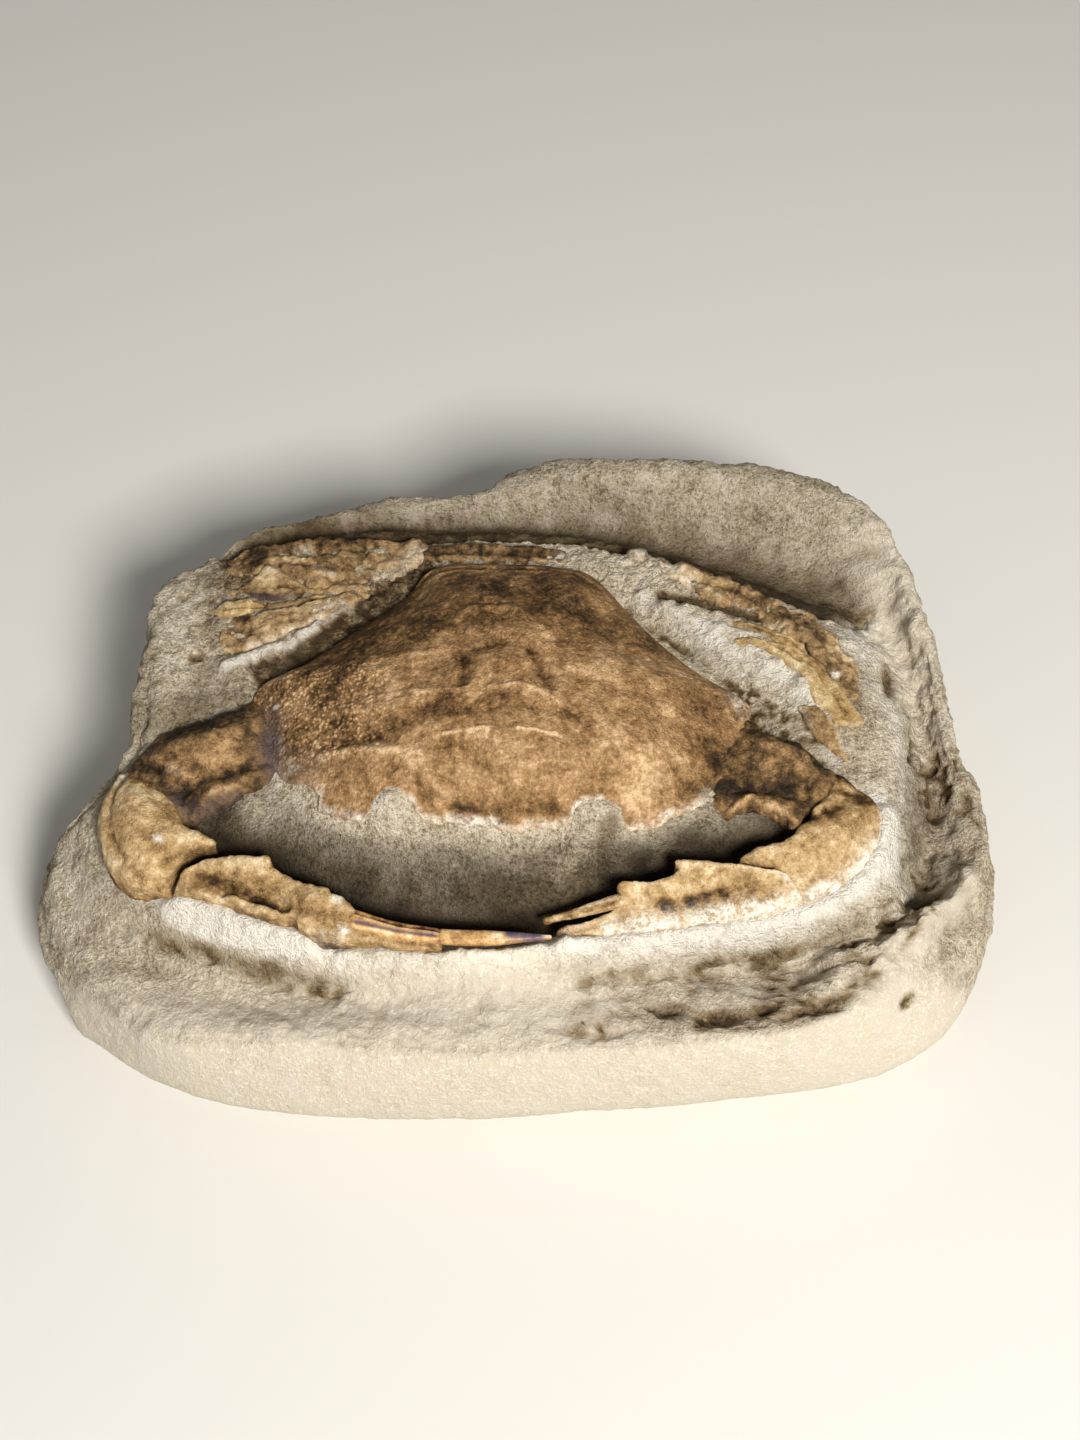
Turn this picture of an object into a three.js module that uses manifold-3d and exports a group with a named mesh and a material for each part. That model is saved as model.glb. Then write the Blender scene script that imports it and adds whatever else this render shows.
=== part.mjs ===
// A fossil crab in its carved stone slab, in millimetres.
// X runs across the crab, +Y points to the back of its shell and +Z is up. The origin is the centre of the flat base.
// The slab is one closed stone body with a pocket for each shell piece. The carapace is a domed shell on a stone core,
// and the limbs are lofted bodies half sunk in the stone, each with its own pocket.
import * as THREE from "three";
import Module from "manifold-3d";

const wasm = await Module();
wasm.setup();

// Driving dimensions.
const GAP = 0.35; // clearance between two touching pieces
const SHELL = 2.4; // thickness of the carapace
const CORE_DROP = 1; // how far the bare stone core lies below the dome
const DOME_TOP = 57.5; // height of the crown of the carapace
const CENTRE = new THREE.Vector2(-2, 5); // the crown, which every ring goes round
const ROUND = 66; // facets round the slab
const CORE_ROWS = [0.4, 0.7, 0.9]; // shares of the way from the crown to the dome's edge
const SPAN_ROWS = 2; // rows between two rings of the slab
const DOME_SIDES = 44; // facets round the carapace
const DOME_ROWS = [0.3, 0.52, 0.7, 0.85, 0.95, 1.06]; // shares of the way out to the dome's edge
const LIMB_SIDES = 10;
const SPINE_SIDES = 6;

// The slab's rings, from the edge of the dome out over the top and down to the base, as [x, y, z] anticlockwise.
const DOME_EDGE = [
  [46, 3, 41.8], [43, 5.8, 42.2], [36.4, 10, 43], [28.6, 16.5, 44.5], [21.8, 24.4, 45.5], [14.5, 33, 46.5],
  [8.6, 34.4, 47], [-2.3, 35, 47.2], [-16, 34.6, 47], [-23, 26.8, 46], [-33.8, 18.4, 45], [-43.5, 11.8, 43],
  [-51, 8, 42], [-52.5, 3.5, 41.3], [-50.5, -3, 41], [-47.5, -9.5, 41.2], [-43, -16.5, 41.6], [-36, -22, 42],
  [-28, -24.8, 42.6], [-17, -25.6, 43], [-3, -26.2, 43], [9, -26, 43], [20, -26, 42.7], [28, -24.6, 42.5],
  [35, -20.5, 42.4], [38.5, -15, 42], [41.5, -9.5, 41.6], [44.5, -3, 41.5],
];
const LEDGE = [
  [60, 1, 42.5], [57, 12, 43.5], [48, 22, 44.5], [36, 30, 45], [22, 37, 45.2], [4, 40, 44], [-16, 40.5, 44],
  [-30, 34, 44], [-44, 27, 43.5], [-56, 19, 43], [-59, 8, 42], [-60, -4, 38], [-58, -17, 37.5], [-54, -25, 35.5],
  [-47, -29.5, 32.5], [-38, -34, 30], [-27, -37.8, 28.5], [-14, -40, 28], [0, -40.5, 28], [11, -38, 28],
  [21, -33.5, 28.5], [32, -29.5, 30], [42, -27.5, 33], [52, -24, 36], [60, -14, 38], [63, -6, 40],
];
const PLINTH = [
  [76, -5, 35.5], [75.5, 9, 37], [72, 20, 39], [61, 27.4, 41], [44.5, 34.2, 43], [28, 40.4, 43.5],
  [5, 45.5, 43.5], [-18, 46, 43.5], [-36, 46, 43], [-52, 42, 43], [-61, 34, 43], [-66, 21, 43], [-68, 7, 42],
  [-73.4, -4, 38], [-82, -12.5, 31.5], [-83, -24, 29], [-76, -34, 28], [-60.5, -40.5, 28], [-41, -44.5, 28],
  [-22, -46.5, 28.5], [-3, -47, 29], [16, -45, 28.5], [35, -42, 28], [54.5, -39.5, 28], [68, -34, 29.5],
  [74, -20, 33.5],
];
const MOAT = [
  [83.5, -4, 24.5], [82.5, 11, 27.5], [79.5, 25, 29.5], [73, 35.5, 30.5], [60.5, 41, 32.5], [43.5, 46.5, 33.5],
  [26, 52, 34.5], [4.5, 54, 35.5], [-15, 54, 36.5], [-36.5, 51.5, 38], [-53, 46.5, 40], [-63, 38, 43],
  [-69, 26, 43.5], [-71, 12, 43.3], [-71.8, 1, 41], [-75, -6.4, 35.6], [-86.5, -16, 28], [-88, -26, 24.5],
  [-81, -37.5, 22.5], [-62, -46, 21], [-42, -50.5, 21.5], [-22, -52, 24], [-3, -52, 26], [16, -50, 24.5],
  [35, -46.5, 22], [55, -44, 21.5], [71, -38, 20.5], [79.5, -28, 19.5], [83.5, -16, 21],
];
const CREST = [
  [91, -12, 27.5], [87.3, 2, 30], [86, 14, 32.5], [83.5, 30, 35.5], [79, 47.5, 39], [69, 57.5, 42.5],
  [52, 61.5, 44.5], [28, 62.5, 45.5], [9, 62, 44.5], [-4, 59.5, 42.5], [-26, 56, 41], [-43, 52.5, 41.5],
  [-57, 47, 42.5], [-67, 37.5, 43], [-72.6, 28, 43.5], [-74, 14, 43.3], [-73.6, 2, 39.5], [-76.6, -6.6, 34.2],
  [-88.5, -15.5, 26.5], [-92, -26, 22.5], [-86, -41, 20], [-76, -50, 21], [-60, -56.5, 23], [-40, -58.5, 24.5],
  [-15, -59.5, 25], [5, -60.5, 25.5], [25, -60, 26], [45, -57.5, 26.5], [62, -51, 26.5], [73.5, -41.5, 27],
  [80, -35, 27], [86, -30, 26.5], [91, -23, 26],
];
const BROW = [
  [93.5, -9, 25.5], [90.2, 2.5, 28.5], [88.4, 15, 31], [85.9, 31, 33.5], [82.3, 46, 36.5], [76.5, 57.5, 39],
  [66.6, 63.2, 41], [52, 65.6, 43], [36, 67.2, 44], [20, 67.3, 44], [7, 67.4, 42.5], [-2, 66.4, 40.5],
  [-7.5, 62, 40], [-26, 59.2, 39.5], [-38, 56, 40], [-53, 50.3, 41.5], [-62, 42.5, 42], [-73.2, 34, 42],
  [-74.8, 24, 42.5], [-76, 9, 41.5], [-75.6, 0.6, 38], [-76.2, -3.2, 35.5], [-80, -7.2, 32.5],
  [-83.5, -10.5, 30], [-91, -17.2, 24.5], [-94.5, -28, 18], [-89.3, -42.6, 15.5], [-78.5, -52.6, 18],
  [-66, -59.5, 20.5], [-36, -61.5, 23.5], [-12, -63.5, 23.5], [5, -63.2, 24.5], [25, -62.5, 25], [48, -60, 25],
  [66, -53.5, 24.5], [78.5, -43, 23.5], [87.5, -33.5, 22.5], [93.5, -23, 22.5],
];
const SKIRT = [
  [96.6, -14, 15], [92.6, -1, 16], [89.6, 7, 18], [88.4, 20, 18], [86.4, 34, 19], [83, 47.5, 20], [76, 58, 20],
  [64, 64.6, 20], [45, 66.3, 20], [18, 66.4, 20], [0, 65.8, 20], [-12, 62, 20], [-34, 58.2, 20],
  [-53, 51.6, 20], [-68, 41.2, 20], [-76.6, 29, 20], [-78.4, 12, 20], [-80, -4, 18], [-87, -12, 14],
  [-95.5, -19.5, 13], [-96.8, -27, 13], [-94, -38.6, 12], [-90.4, -44, 9], [-86.6, -50, 6], [-81.2, -53.8, 5.5],
  [-72.1, -59.2, 5], [-57.7, -64.6, 5], [-42, -66.8, 5], [-18.7, -68, 5], [8.4, -66.6, 5], [35.6, -64.6, 5],
  [65.2, -60.6, 5], [75.1, -57.2, 6], [83.4, -51.8, 7], [91, -42.2, 9], [95.4, -31, 12], [96.5, -22, 14],
];
const SOLE = [
  [92, -13, 0], [88, 0, 0], [85.5, 8, 0], [84, 20, 0], [82, 33, 0], [78.5, 45.5, 0], [72, 55, 0], [61, 61, 0],
  [44, 63, 0], [18, 63, 0], [0, 61.5, 0], [-12, 58.5, 0], [-33, 54.5, 0], [-51, 48, 0], [-64.5, 38.5, 0],
  [-72.5, 27, 0], [-74, 11, 0], [-76, -5, 0], [-83, -13, 0], [-90, -20.5, 0], [-92, -28, 0], [-90, -37, 0],
  [-86.5, -42.5, 0], [-83, -48, 0], [-78.6, -51.6, 0], [-71, -56.6, 0], [-57, -62.2, 0], [-42, -64.6, 0],
  [-18.7, -65.8, 0], [8.4, -64.4, 0], [35.6, -61.8, 0], [64.5, -57.5, 0], [73.5, -54, 0], [81, -49.5, 0],
  [87.5, -41, 0], [91.5, -31, 0], [92.5, -22, 0],
];
// Tool marks cut along the foot of the plinth and in the front of the slab.
const GROOVES = [
  { path: [[21, -44.6], [33.9, -43.4], [46.8, -42], [57, -39.6], [68.9, -35.7], [80, -28]], depth: 2.2, width: 2.6 },
  { path: [[25, -52.6], [33.3, -55], [38, -57], [48.6, -56.8], [60, -53.2]], depth: 1.8, width: 2.6 },
  { path: [[-76, -37], [-60.8, -41.8], [-49, -45.8], [-31, -51.4]], depth: 2.6, width: 3 },
];

// The two edges of the carapace, as [x, y] from left to right. The front one dips in at the two eye notches.
const FRONT_MARGIN = [
  [-52.5, 3.5], [-50.5, -3], [-47.5, -9.5], [-44.5, -14], [-38.4, -17], [-37.4, -21.3], [-33.8, -22.8],
  [-29.5, -24.2], [-27.6, -23.2], [-26.4, -21.6], [-24, -20.6], [-21.2, -21.3], [-19, -23], [-17.6, -24.8],
  [-14, -24.8], [-9.8, -25.4], [-3, -26], [5.8, -25.9], [9.5, -25.2], [12.8, -23.2], [16, -22.3], [18.6, -22.8],
  [19.6, -25.6], [24.5, -25.6], [27.2, -24.4], [30, -23], [33, -22], [35.2, -20.2], [38, -15.6], [41.5, -9.3],
  [44.5, -3], [46, 2.4],
];
const BACK_MARGIN = [
  [-52.5, 4], [-51, 8], [-43.5, 11.8], [-33.8, 18.4], [-23, 26.8], [-18.8, 33], [-16.5, 34.4], [-2.3, 35],
  [8.6, 34.4], [14.2, 33], [18.2, 29.2], [21.8, 24.4], [28.6, 16.5], [36.4, 10], [43, 5.8], [45.6, 3.6], [46, 3],
];

// Each limb piece runs through stations [x, y, z, half width, height above, depth below]. Its lean carries the top
// towards the back, and its spines are [base x, y, z, tip x, y, z, radius].
const LIMBS = {
  left_merus: {
    colour: 0x8f6a3f,
    stations: [[-47, -3.5, 38, 8.5, 4, 6], [-54, -6, 38.5, 9.6, 5.4, 6], [-62, -9, 38, 8.8, 6.2, 6],
      [-69, -10.5, 37, 6.2, 4.4, 5]],
    spines: [[-57, -14, 38.6, -62.5, -20.5, 39.8, 2.6]],
  },
  left_carpus: {
    colour: 0xa07d4b,
    stations: [[-73.2, -11.5, 37.5, 5.2, 3.2, 6], [-73, -17, 37, 7.6, 4.6, 6], [-71.5, -23, 36, 7.6, 4.6, 6],
      [-69.5, -28.5, 34, 6, 3.8, 5]],
    spines: [[-66, -25.5, 37.5, -57.6, -25.7, 39.8, 3.2]],
  },
  left_propodus: {
    colour: 0xa9824a, lean: 0.35,
    stations: [[-65.5, -31.8, 33.2, 3.6, 3.6, 5], [-59, -32.6, 33.4, 4.6, 4.4, 6], [-51, -34.2, 33.4, 4.7, 4.4, 6],
      [-43, -37, 33, 4.1, 4, 6], [-36, -39.4, 32.6, 3.5, 3.6, 5], [-30, -42.6, 31.6, 1.2, 1.6, 4],
      [-22, -44.6, 31.4, 0.6, 1, 3], [-14, -45, 31.2, 0.5, 0.8, 2]],
    spines: [[-50.5, -31.5, 36.5, -46.6, -29, 38.2, 1.6], [-38.5, -37.6, 35.5, -34.6, -35.8, 37.6, 1.5]],
  },
  left_dactylus: {
    colour: 0xb98552,
    stations: [[-31, -40.2, 33.6, 2, 1.5, 2.4], [-24, -42, 33.1, 1.75, 1.4, 2.2], [-14.6, -43.3, 32.7, 1.5, 1.2, 2],
      [-5, -43.5, 32.4, 1.4, 1.1, 1.9], [1, -43.3, 32.2, 0.95, 0.8, 1.5], [6.4, -43.1, 32, 0.4, 0.4, 0.8]],
  },
  right_merus: {
    colour: 0x7d5930,
    stations: [[42, -7, 39.5, 9.6, 4.6, 6], [49, -10, 39.5, 9.4, 5, 6], [56, -14, 38.5, 7.6, 4.4, 5]],
    spines: [[47.5, -18, 39.5, 53.4, -25, 41.2, 2.4]],
  },
  right_carpus: {
    colour: 0xab844b,
    stations: [[63, -13.5, 37.4, 5.2, 3.4, 6], [63.4, -18.5, 37.2, 6.8, 4.4, 6], [61.5, -25, 36, 7.6, 4.4, 6],
      [58, -30.5, 34, 5.2, 3, 4]],
    spines: [[52.5, -27.5, 37.5, 42.8, -29.8, 39.6, 2.8]],
  },
  right_propodus: {
    colour: 0xb38b52, lean: 0.35,
    stations: [[51.2, -33, 34, 4, 3.6, 6], [44, -34.6, 34.2, 4.4, 4.2, 6], [36, -36.2, 33.8, 4, 3.8, 6],
      [28.5, -38, 33.2, 3.4, 3.4, 5], [21.5, -39.6, 32.4, 2.4, 2.4, 4], [14, -41.6, 31.4, 1.3, 1.3, 3],
      [8, -42.9, 31, 0.8, 0.9, 2]],
    spines: [[37, -33.6, 37, 29.6, -31.3, 39.6, 1.8], [24.5, -36.6, 35.4, 18.8, -35, 37.6, 1.5]],
  },
  right_dactylus: {
    colour: 0xb58f62,
    stations: [[20.6, -36.6, 34.9, 1.3, 1, 2], [15, -37.8, 34, 1, 0.9, 2], [9.8, -39, 33.3, 0.7, 0.7, 1.6],
      [5.4, -40.2, 32.7, 0.45, 0.5, 1.2]],
  },
  pleon: {
    colour: 0x86683f,
    stations: [[-18, 38.8, 44.4, 1.9, 1.4, 2], [-6, 39.8, 44.8, 2.1, 1.6, 2], [3, 39.7, 44.8, 2.1, 1.5, 2],
      [9.5, 38.8, 44.6, 1.7, 1.2, 2]],
  },
  left_leg_5: {
    colour: 0x8a6a45,
    stations: [[-22, 40.2, 43.8, 2.2, 1.4, 3], [-32, 38.6, 44, 4.6, 1.8, 3], [-44, 38.4, 43.8, 4.4, 1.8, 3],
      [-54, 38.6, 43.3, 3.2, 1.6, 3], [-58.6, 37.4, 42.8, 2, 1.2, 2.5]],
  },
  left_leg_4: {
    colour: 0x7d6140,
    stations: [[-32, 30.6, 44.2, 0.9, 1.2, 2.5], [-42, 30.4, 43.7, 1.1, 1.4, 2.5], [-50, 31.6, 43.2, 2.6, 1.7, 2.5],
      [-58.6, 30.8, 42.7, 0.9, 1.2, 2.5]],
  },
  left_leg_3: {
    colour: 0xb29a5c,
    stations: [[-38, 28.8, 44.3, 0.7, 1.2, 2.5], [-46, 27.2, 43.4, 0.9, 1.3, 2.5], [-55, 26.2, 43.1, 1.6, 1.6, 2.5],
      [-60.6, 25.8, 42.9, 1.1, 1.3, 2.5]],
  },
  left_leg_2: {
    colour: 0x937450,
    stations: [[-34, 27.4, 45, 1, 1.3, 2.5], [-41, 24.6, 43.6, 2.2, 1.8, 2.5], [-49, 21.8, 43.3, 3.4, 1.9, 2.5],
      [-57.6, 19.4, 42.9, 3.6, 1.4, 2.5]],
  },
  right_leg_5: {
    colour: 0x8f7040,
    stations: [[25.6, 38.2, 44.7, 1.4, 1.2, 2.5], [34, 34, 44.4, 2.6, 1.5, 2.5], [43, 30, 44.1, 3, 1.7, 2.5],
      [51, 25, 44.1, 3.4, 1.7, 2.5], [58, 20.6, 43.2, 3.8, 1.8, 2.5], [63.4, 14, 42.3, 3.4, 1.6, 2.5],
      [66, 8, 41.2, 1.6, 1.3, 2.5]],
  },
  right_leg_4: {
    colour: 0xb0914e,
    stations: [[45, 20.8, 44.5, 0.8, 1.3, 2.5], [50.6, 18.4, 44.3, 1, 1.5, 2.5], [56, 16, 43.6, 0.8, 1.3, 2.5]],
  },
  right_leg_3: {
    colour: 0xb58f4a,
    stations: [[45, 16.4, 44.5, 0.9, 1.3, 2.5], [52, 14.8, 44.4, 1.6, 1.6, 2.5], [58, 11, 43.3, 2.2, 1.8, 2.5],
      [61.4, 5.6, 42.3, 2.8, 1.8, 2.5], [64.6, 0.6, 41.2, 2.4, 1.5, 2.5]],
  },
  right_leg_2: {
    colour: 0x9b7440,
    stations: [[57.2, 1, 42, 1.4, 1.4, 2.5], [60, -2, 41.2, 2, 1.6, 2.5], [63.4, -6.8, 39.4, 1, 1.2, 2.5]],
  },
};

const STONE = 0xb9ae98;
const CARAPACE = 0x8c6438;

// A ring of the slab: its radius and height at any angle round the crown.
function ring(points) {
  const curve = new THREE.CatmullRomCurve3(points.map((p) => new THREE.Vector3(...p)), true, "centripetal");
  const samples = curve.getPoints(points.length * 12).map((p) => {
    const across = new THREE.Vector2(p.x, p.y).sub(CENTRE);
    return { angle: across.angle(), radius: across.length(), z: p.z };
  });
  samples.sort((a, b) => a.angle - b.angle);
  return (angle) => {
    const turned = THREE.MathUtils.euclideanModulo(angle, 2 * Math.PI);
    const after = samples.findIndex((s) => s.angle >= turned);
    const b = samples[Math.max(after, 0)];
    const a = samples.at(after - 1);
    const step = THREE.MathUtils.euclideanModulo(b.angle - a.angle, 2 * Math.PI);
    const share = step > 0 ? THREE.MathUtils.euclideanModulo(turned - a.angle, 2 * Math.PI) / step : 0;
    return {
      radius: THREE.MathUtils.lerp(a.radius, b.radius, share),
      z: THREE.MathUtils.lerp(a.z, b.z, share),
    };
  };
}

function pointAt(angle, radius, z) {
  return new THREE.Vector3(CENTRE.x + radius * Math.cos(angle), CENTRE.y + radius * Math.sin(angle), z);
}

const domeEdge = ring(DOME_EDGE);

// Height of the top of the carapace: steep towards the front, flatter towards the sides and the back.
function dome(x, y) {
  const across = new THREE.Vector2(x, y).sub(CENTRE);
  const angle = across.angle();
  const edge = domeEdge(angle);
  const share = Math.min(across.length() / edge.radius, 1);
  const front = Math.max(-Math.sin(angle), 0) ** 2;
  const back = Math.max(Math.sin(angle), 0) ** 2;
  return edge.z + (DOME_TOP - edge.z) * (1 - share ** (2.1 + 1.1 * front + 0.3 * back));
}

function distanceToPath(path, x, y) {
  const point = new THREE.Vector3(x, y, 0);
  const near = new THREE.Vector3();
  return Math.min(...path.slice(1).map((end, i) => {
    const line = new THREE.Line3(new THREE.Vector3(...path[i], 0), new THREE.Vector3(...end, 0));
    return line.closestPointToPoint(point, true, near).distanceTo(point);
  }));
}

function grooveDepth(x, y) {
  return GROOVES.reduce((sum, g) => sum + g.depth * Math.exp(-((distanceToPath(g.path, x, y) / g.width) ** 2)), 0);
}

// A closed geometry from rows of points, all of one length and each closed on itself, with a fan at either end.
function loft(rows, startPoint, endPoint) {
  const count = rows[0].length;
  const points = [startPoint, ...rows.flat(), endPoint];
  const last = points.length - 1;
  const at = (row, k) => 1 + row * count + (k % count);
  const triangles = [];
  for (let k = 0; k < count; k++) {
    triangles.push(0, at(0, k), at(0, k + 1));
    triangles.push(last, at(rows.length - 1, k + 1), at(rows.length - 1, k));
    for (let row = 0; row + 1 < rows.length; row++) {
      triangles.push(at(row, k), at(row + 1, k), at(row + 1, k + 1));
      triangles.push(at(row, k), at(row + 1, k + 1), at(row, k + 1));
    }
  }
  return new THREE.BufferGeometry().setFromPoints(points).setIndex(triangles);
}

// The whole slab before its pockets are cut: from the crown of the core out over the top and down to the base.
function stoneGeometry() {
  const rings = [LEDGE, PLINTH, MOAT, CREST, BROW, SKIRT, SOLE].map(ring);
  const browShare = 5 / rings.length;
  const rowCount = rings.length * SPAN_ROWS;
  const columns = [];
  for (let k = 0; k < ROUND; k++) {
    const angle = (2 * Math.PI * k) / ROUND;
    const edge = domeEdge(angle);
    const core = CORE_ROWS.map((share) => {
      const p = pointAt(angle, edge.radius * share, 0);
      return p.setZ(dome(p.x, p.y) - CORE_DROP);
    });
    const knots = [{ ...edge, z: edge.z - CORE_DROP }, ...rings.map((r) => r(angle))];
    const profile = new THREE.CatmullRomCurve3(
      knots.map((n) => pointAt(angle, n.radius, n.z)), false, "centripetal");
    const outside = profile.getPoints(rowCount).map((p, i) => {
      const onTop = i / rowCount < browShare;
      return p.setZ(Math.max(i === rowCount ? 0 : p.z - (onTop ? grooveDepth(p.x, p.y) : 0), 0));
    });
    columns.push([...core, ...outside]);
  }
  const rows = columns[0].map((_, i) => columns.map((c) => c[i]));
  const crown = new THREE.Vector3(CENTRE.x, CENTRE.y, DOME_TOP - CORE_DROP);
  return loft(rows, crown, new THREE.Vector3(CENTRE.x, CENTRE.y, 0));
}

// The carapace: a domed sheet cut to the outline. Grown, it is the tool that cuts its own pocket, open at the top.
function carapaceSolid(grow = 0) {
  const row = (share, lift) => Array.from({ length: DOME_SIDES }, (_, k) => {
    const angle = (2 * Math.PI * k) / DOME_SIDES;
    const p = pointAt(angle, domeEdge(angle).radius * share, 0);
    return p.setZ(dome(p.x, p.y) + lift);
  });
  const rise = grow ? 12 : 0;
  const drop = -SHELL - 2 * grow;
  const top = DOME_ROWS.map((share) => row(share, rise));
  const under = DOME_ROWS.map((share) => row(share, drop)).reverse();
  const crown = new THREE.Vector3(CENTRE.x, CENTRE.y, DOME_TOP);
  const sheet = solidOf(loft([...top, ...under], crown.clone().setZ(DOME_TOP + rise), crown.setZ(DOME_TOP + drop)));
  const outline = new THREE.Shape([...FRONT_MARGIN, ...BACK_MARGIN.toReversed()].map(([x, y]) => new THREE.Vector2(x, y)));
  const cutter = new THREE.ExtrudeGeometry(outline, {
    depth: 2 * DOME_TOP, bevelEnabled: grow > 0, bevelSize: grow, bevelThickness: 1, bevelSegments: 1,
  });
  return sheet.intersect(solidOf(cutter));
}

// A limb piece as a loft of rounded sections, with a shorter, narrower section past either end.
function limbGeometry({ stations, lean = 0 }, grow = 0) {
  const given = stations.map(([x, y, z, half, up, down]) => ({ at: new THREE.Vector3(x, y, z), half, up, down }));
  const beyond = (end, inner) => {
    const out = end.at.clone().sub(inner.at).setLength(0.35 * Math.min(end.half, end.up + end.down) + grow);
    return { at: end.at.clone().add(out), half: 0.65 * end.half, up: 0.65 * end.up, down: 0.65 * end.down };
  };
  const spots = [beyond(given[0], given[1]), ...given, beyond(given.at(-1), given.at(-2))];
  const rows = spots.map((spot, i) => {
    const run = spots[Math.min(i + 1, spots.length - 1)].at.clone().sub(spots[Math.max(i - 1, 0)].at).setZ(0);
    const side = new THREE.Vector3(-run.y, run.x, 0).normalize();
    const leaning = side.clone().multiplyScalar(side.y < 0 ? -lean : lean);
    return Array.from({ length: LIMB_SIDES }, (_, k) => {
      const turn = (2 * Math.PI * k) / LIMB_SIDES;
      const lift = Math.sin(turn) * (grow + (Math.sin(turn) > 0 ? spot.up : spot.down));
      return spot.at.clone().addScaledVector(side, Math.cos(turn) * (spot.half + grow))
        .addScaledVector(leaning, lift).add(new THREE.Vector3(0, 0, lift));
    });
  });
  return loft(rows, spots[0].at, spots.at(-1).at);
}

function spineGeometry([bx, by, bz, tx, ty, tz, radius], grow = 0) {
  const base = new THREE.Vector3(bx, by, bz);
  const run = new THREE.Vector3(tx, ty, tz).sub(base);
  const length = run.length() + 2 * grow;
  const cone = new THREE.ConeGeometry(radius + grow, length, SPINE_SIDES);
  cone.translate(0, length / 2, 0);
  cone.applyQuaternion(new THREE.Quaternion().setFromUnitVectors(new THREE.Vector3(0, 1, 0), run.normalize()));
  return cone.translate(base.x, base.y, base.z);
}

// A closed geometry as a solid. Points that share a place are counted once, and the faces are made to point out.
function solidOf(geometry) {
  const position = geometry.getAttribute("position");
  const places = new Map();
  const kept = [];
  const place = Array.from({ length: position.count }, (_, i) => {
    const at = [position.getX(i), position.getY(i), position.getZ(i)];
    const key = at.map((c) => c.toFixed(4)).join();
    if (!places.has(key)) {
      places.set(key, places.size);
      kept.push(...at);
    }
    return places.get(key);
  });
  const corners = [];
  const index = geometry.index?.array ?? place.keys().toArray();
  for (let i = 0; i < index.length; i += 3) {
    const [a, b, c] = [place[index[i]], place[index[i + 1]], place[index[i + 2]]];
    if (a !== b && b !== c && c !== a) corners.push(a, b, c);
  }
  const build = (triVerts) => new wasm.Manifold(new wasm.Mesh({
    numProp: 3, vertProperties: new Float32Array(kept), triVerts: new Uint32Array(triVerts),
  }));
  const solid = build(corners);
  return solid.volume() > 0 ? solid : build(corners.reverse());
}

function largestPiece(solid) {
  return solid.decompose().reduce((best, piece) => (piece.volume() > best.volume() ? piece : best));
}

function limbSolid(limb, grow = 0) {
  const spines = (limb.spines ?? []).map((s) => solidOf(spineGeometry(s, grow)));
  return spines.reduce((whole, s) => whole.add(s), solidOf(limbGeometry(limb, grow)));
}

function meshOf(name, solid, colour, roughness) {
  const { numProp, numVert, vertProperties, triVerts } = solid.getMesh();
  const position = new Float32Array(numVert * 3);
  for (let i = 0; i < numVert; i++) position.set(vertProperties.subarray(i * numProp, i * numProp + 3), i * 3);
  const geometry = new THREE.BufferGeometry()
    .setAttribute("position", new THREE.BufferAttribute(position, 3))
    .setIndex(new THREE.BufferAttribute(triVerts, 1));
  geometry.computeVertexNormals();
  const mesh = new THREE.Mesh(geometry, new THREE.MeshStandardMaterial({ color: colour, roughness, metalness: 0 }));
  mesh.name = name;
  return mesh;
}

// Each piece gives way to those before it in this list, and the stone gives way to them all.
const pieces = [{
  name: "carapace", colour: CARAPACE, solid: carapaceSolid(), pocket: carapaceSolid(GAP),
}];
for (const [name, limb] of Object.entries(LIMBS)) {
  const cut = pieces.reduce((left, piece) => left.subtract(piece.pocket), limbSolid(limb));
  pieces.push({ name, colour: limb.colour, solid: largestPiece(cut), pocket: limbSolid(limb, GAP) });
}
const stone = pieces.reduce((left, piece) => left.subtract(piece.pocket), solidOf(stoneGeometry()));

const fossilCrab = new THREE.Group();
fossilCrab.add(meshOf("matrix", largestPiece(stone), STONE, 0.95));
for (const piece of pieces) fossilCrab.add(meshOf(piece.name, piece.solid, piece.colour, 0.6));

export default fossilCrab;
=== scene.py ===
"""A fossil crab on its carved stone slab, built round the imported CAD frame. Lengths are in millimetres until a mesh
is made; the floor, the lights and the camera's distance are in metres. Every random pattern comes from seeded lattice
noise, so each run gives the same object."""
import math
import bmesh
import bpy
import numpy as np
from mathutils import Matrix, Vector
from mathutils.bvhtree import BVHTree
from types import SimpleNamespace


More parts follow.
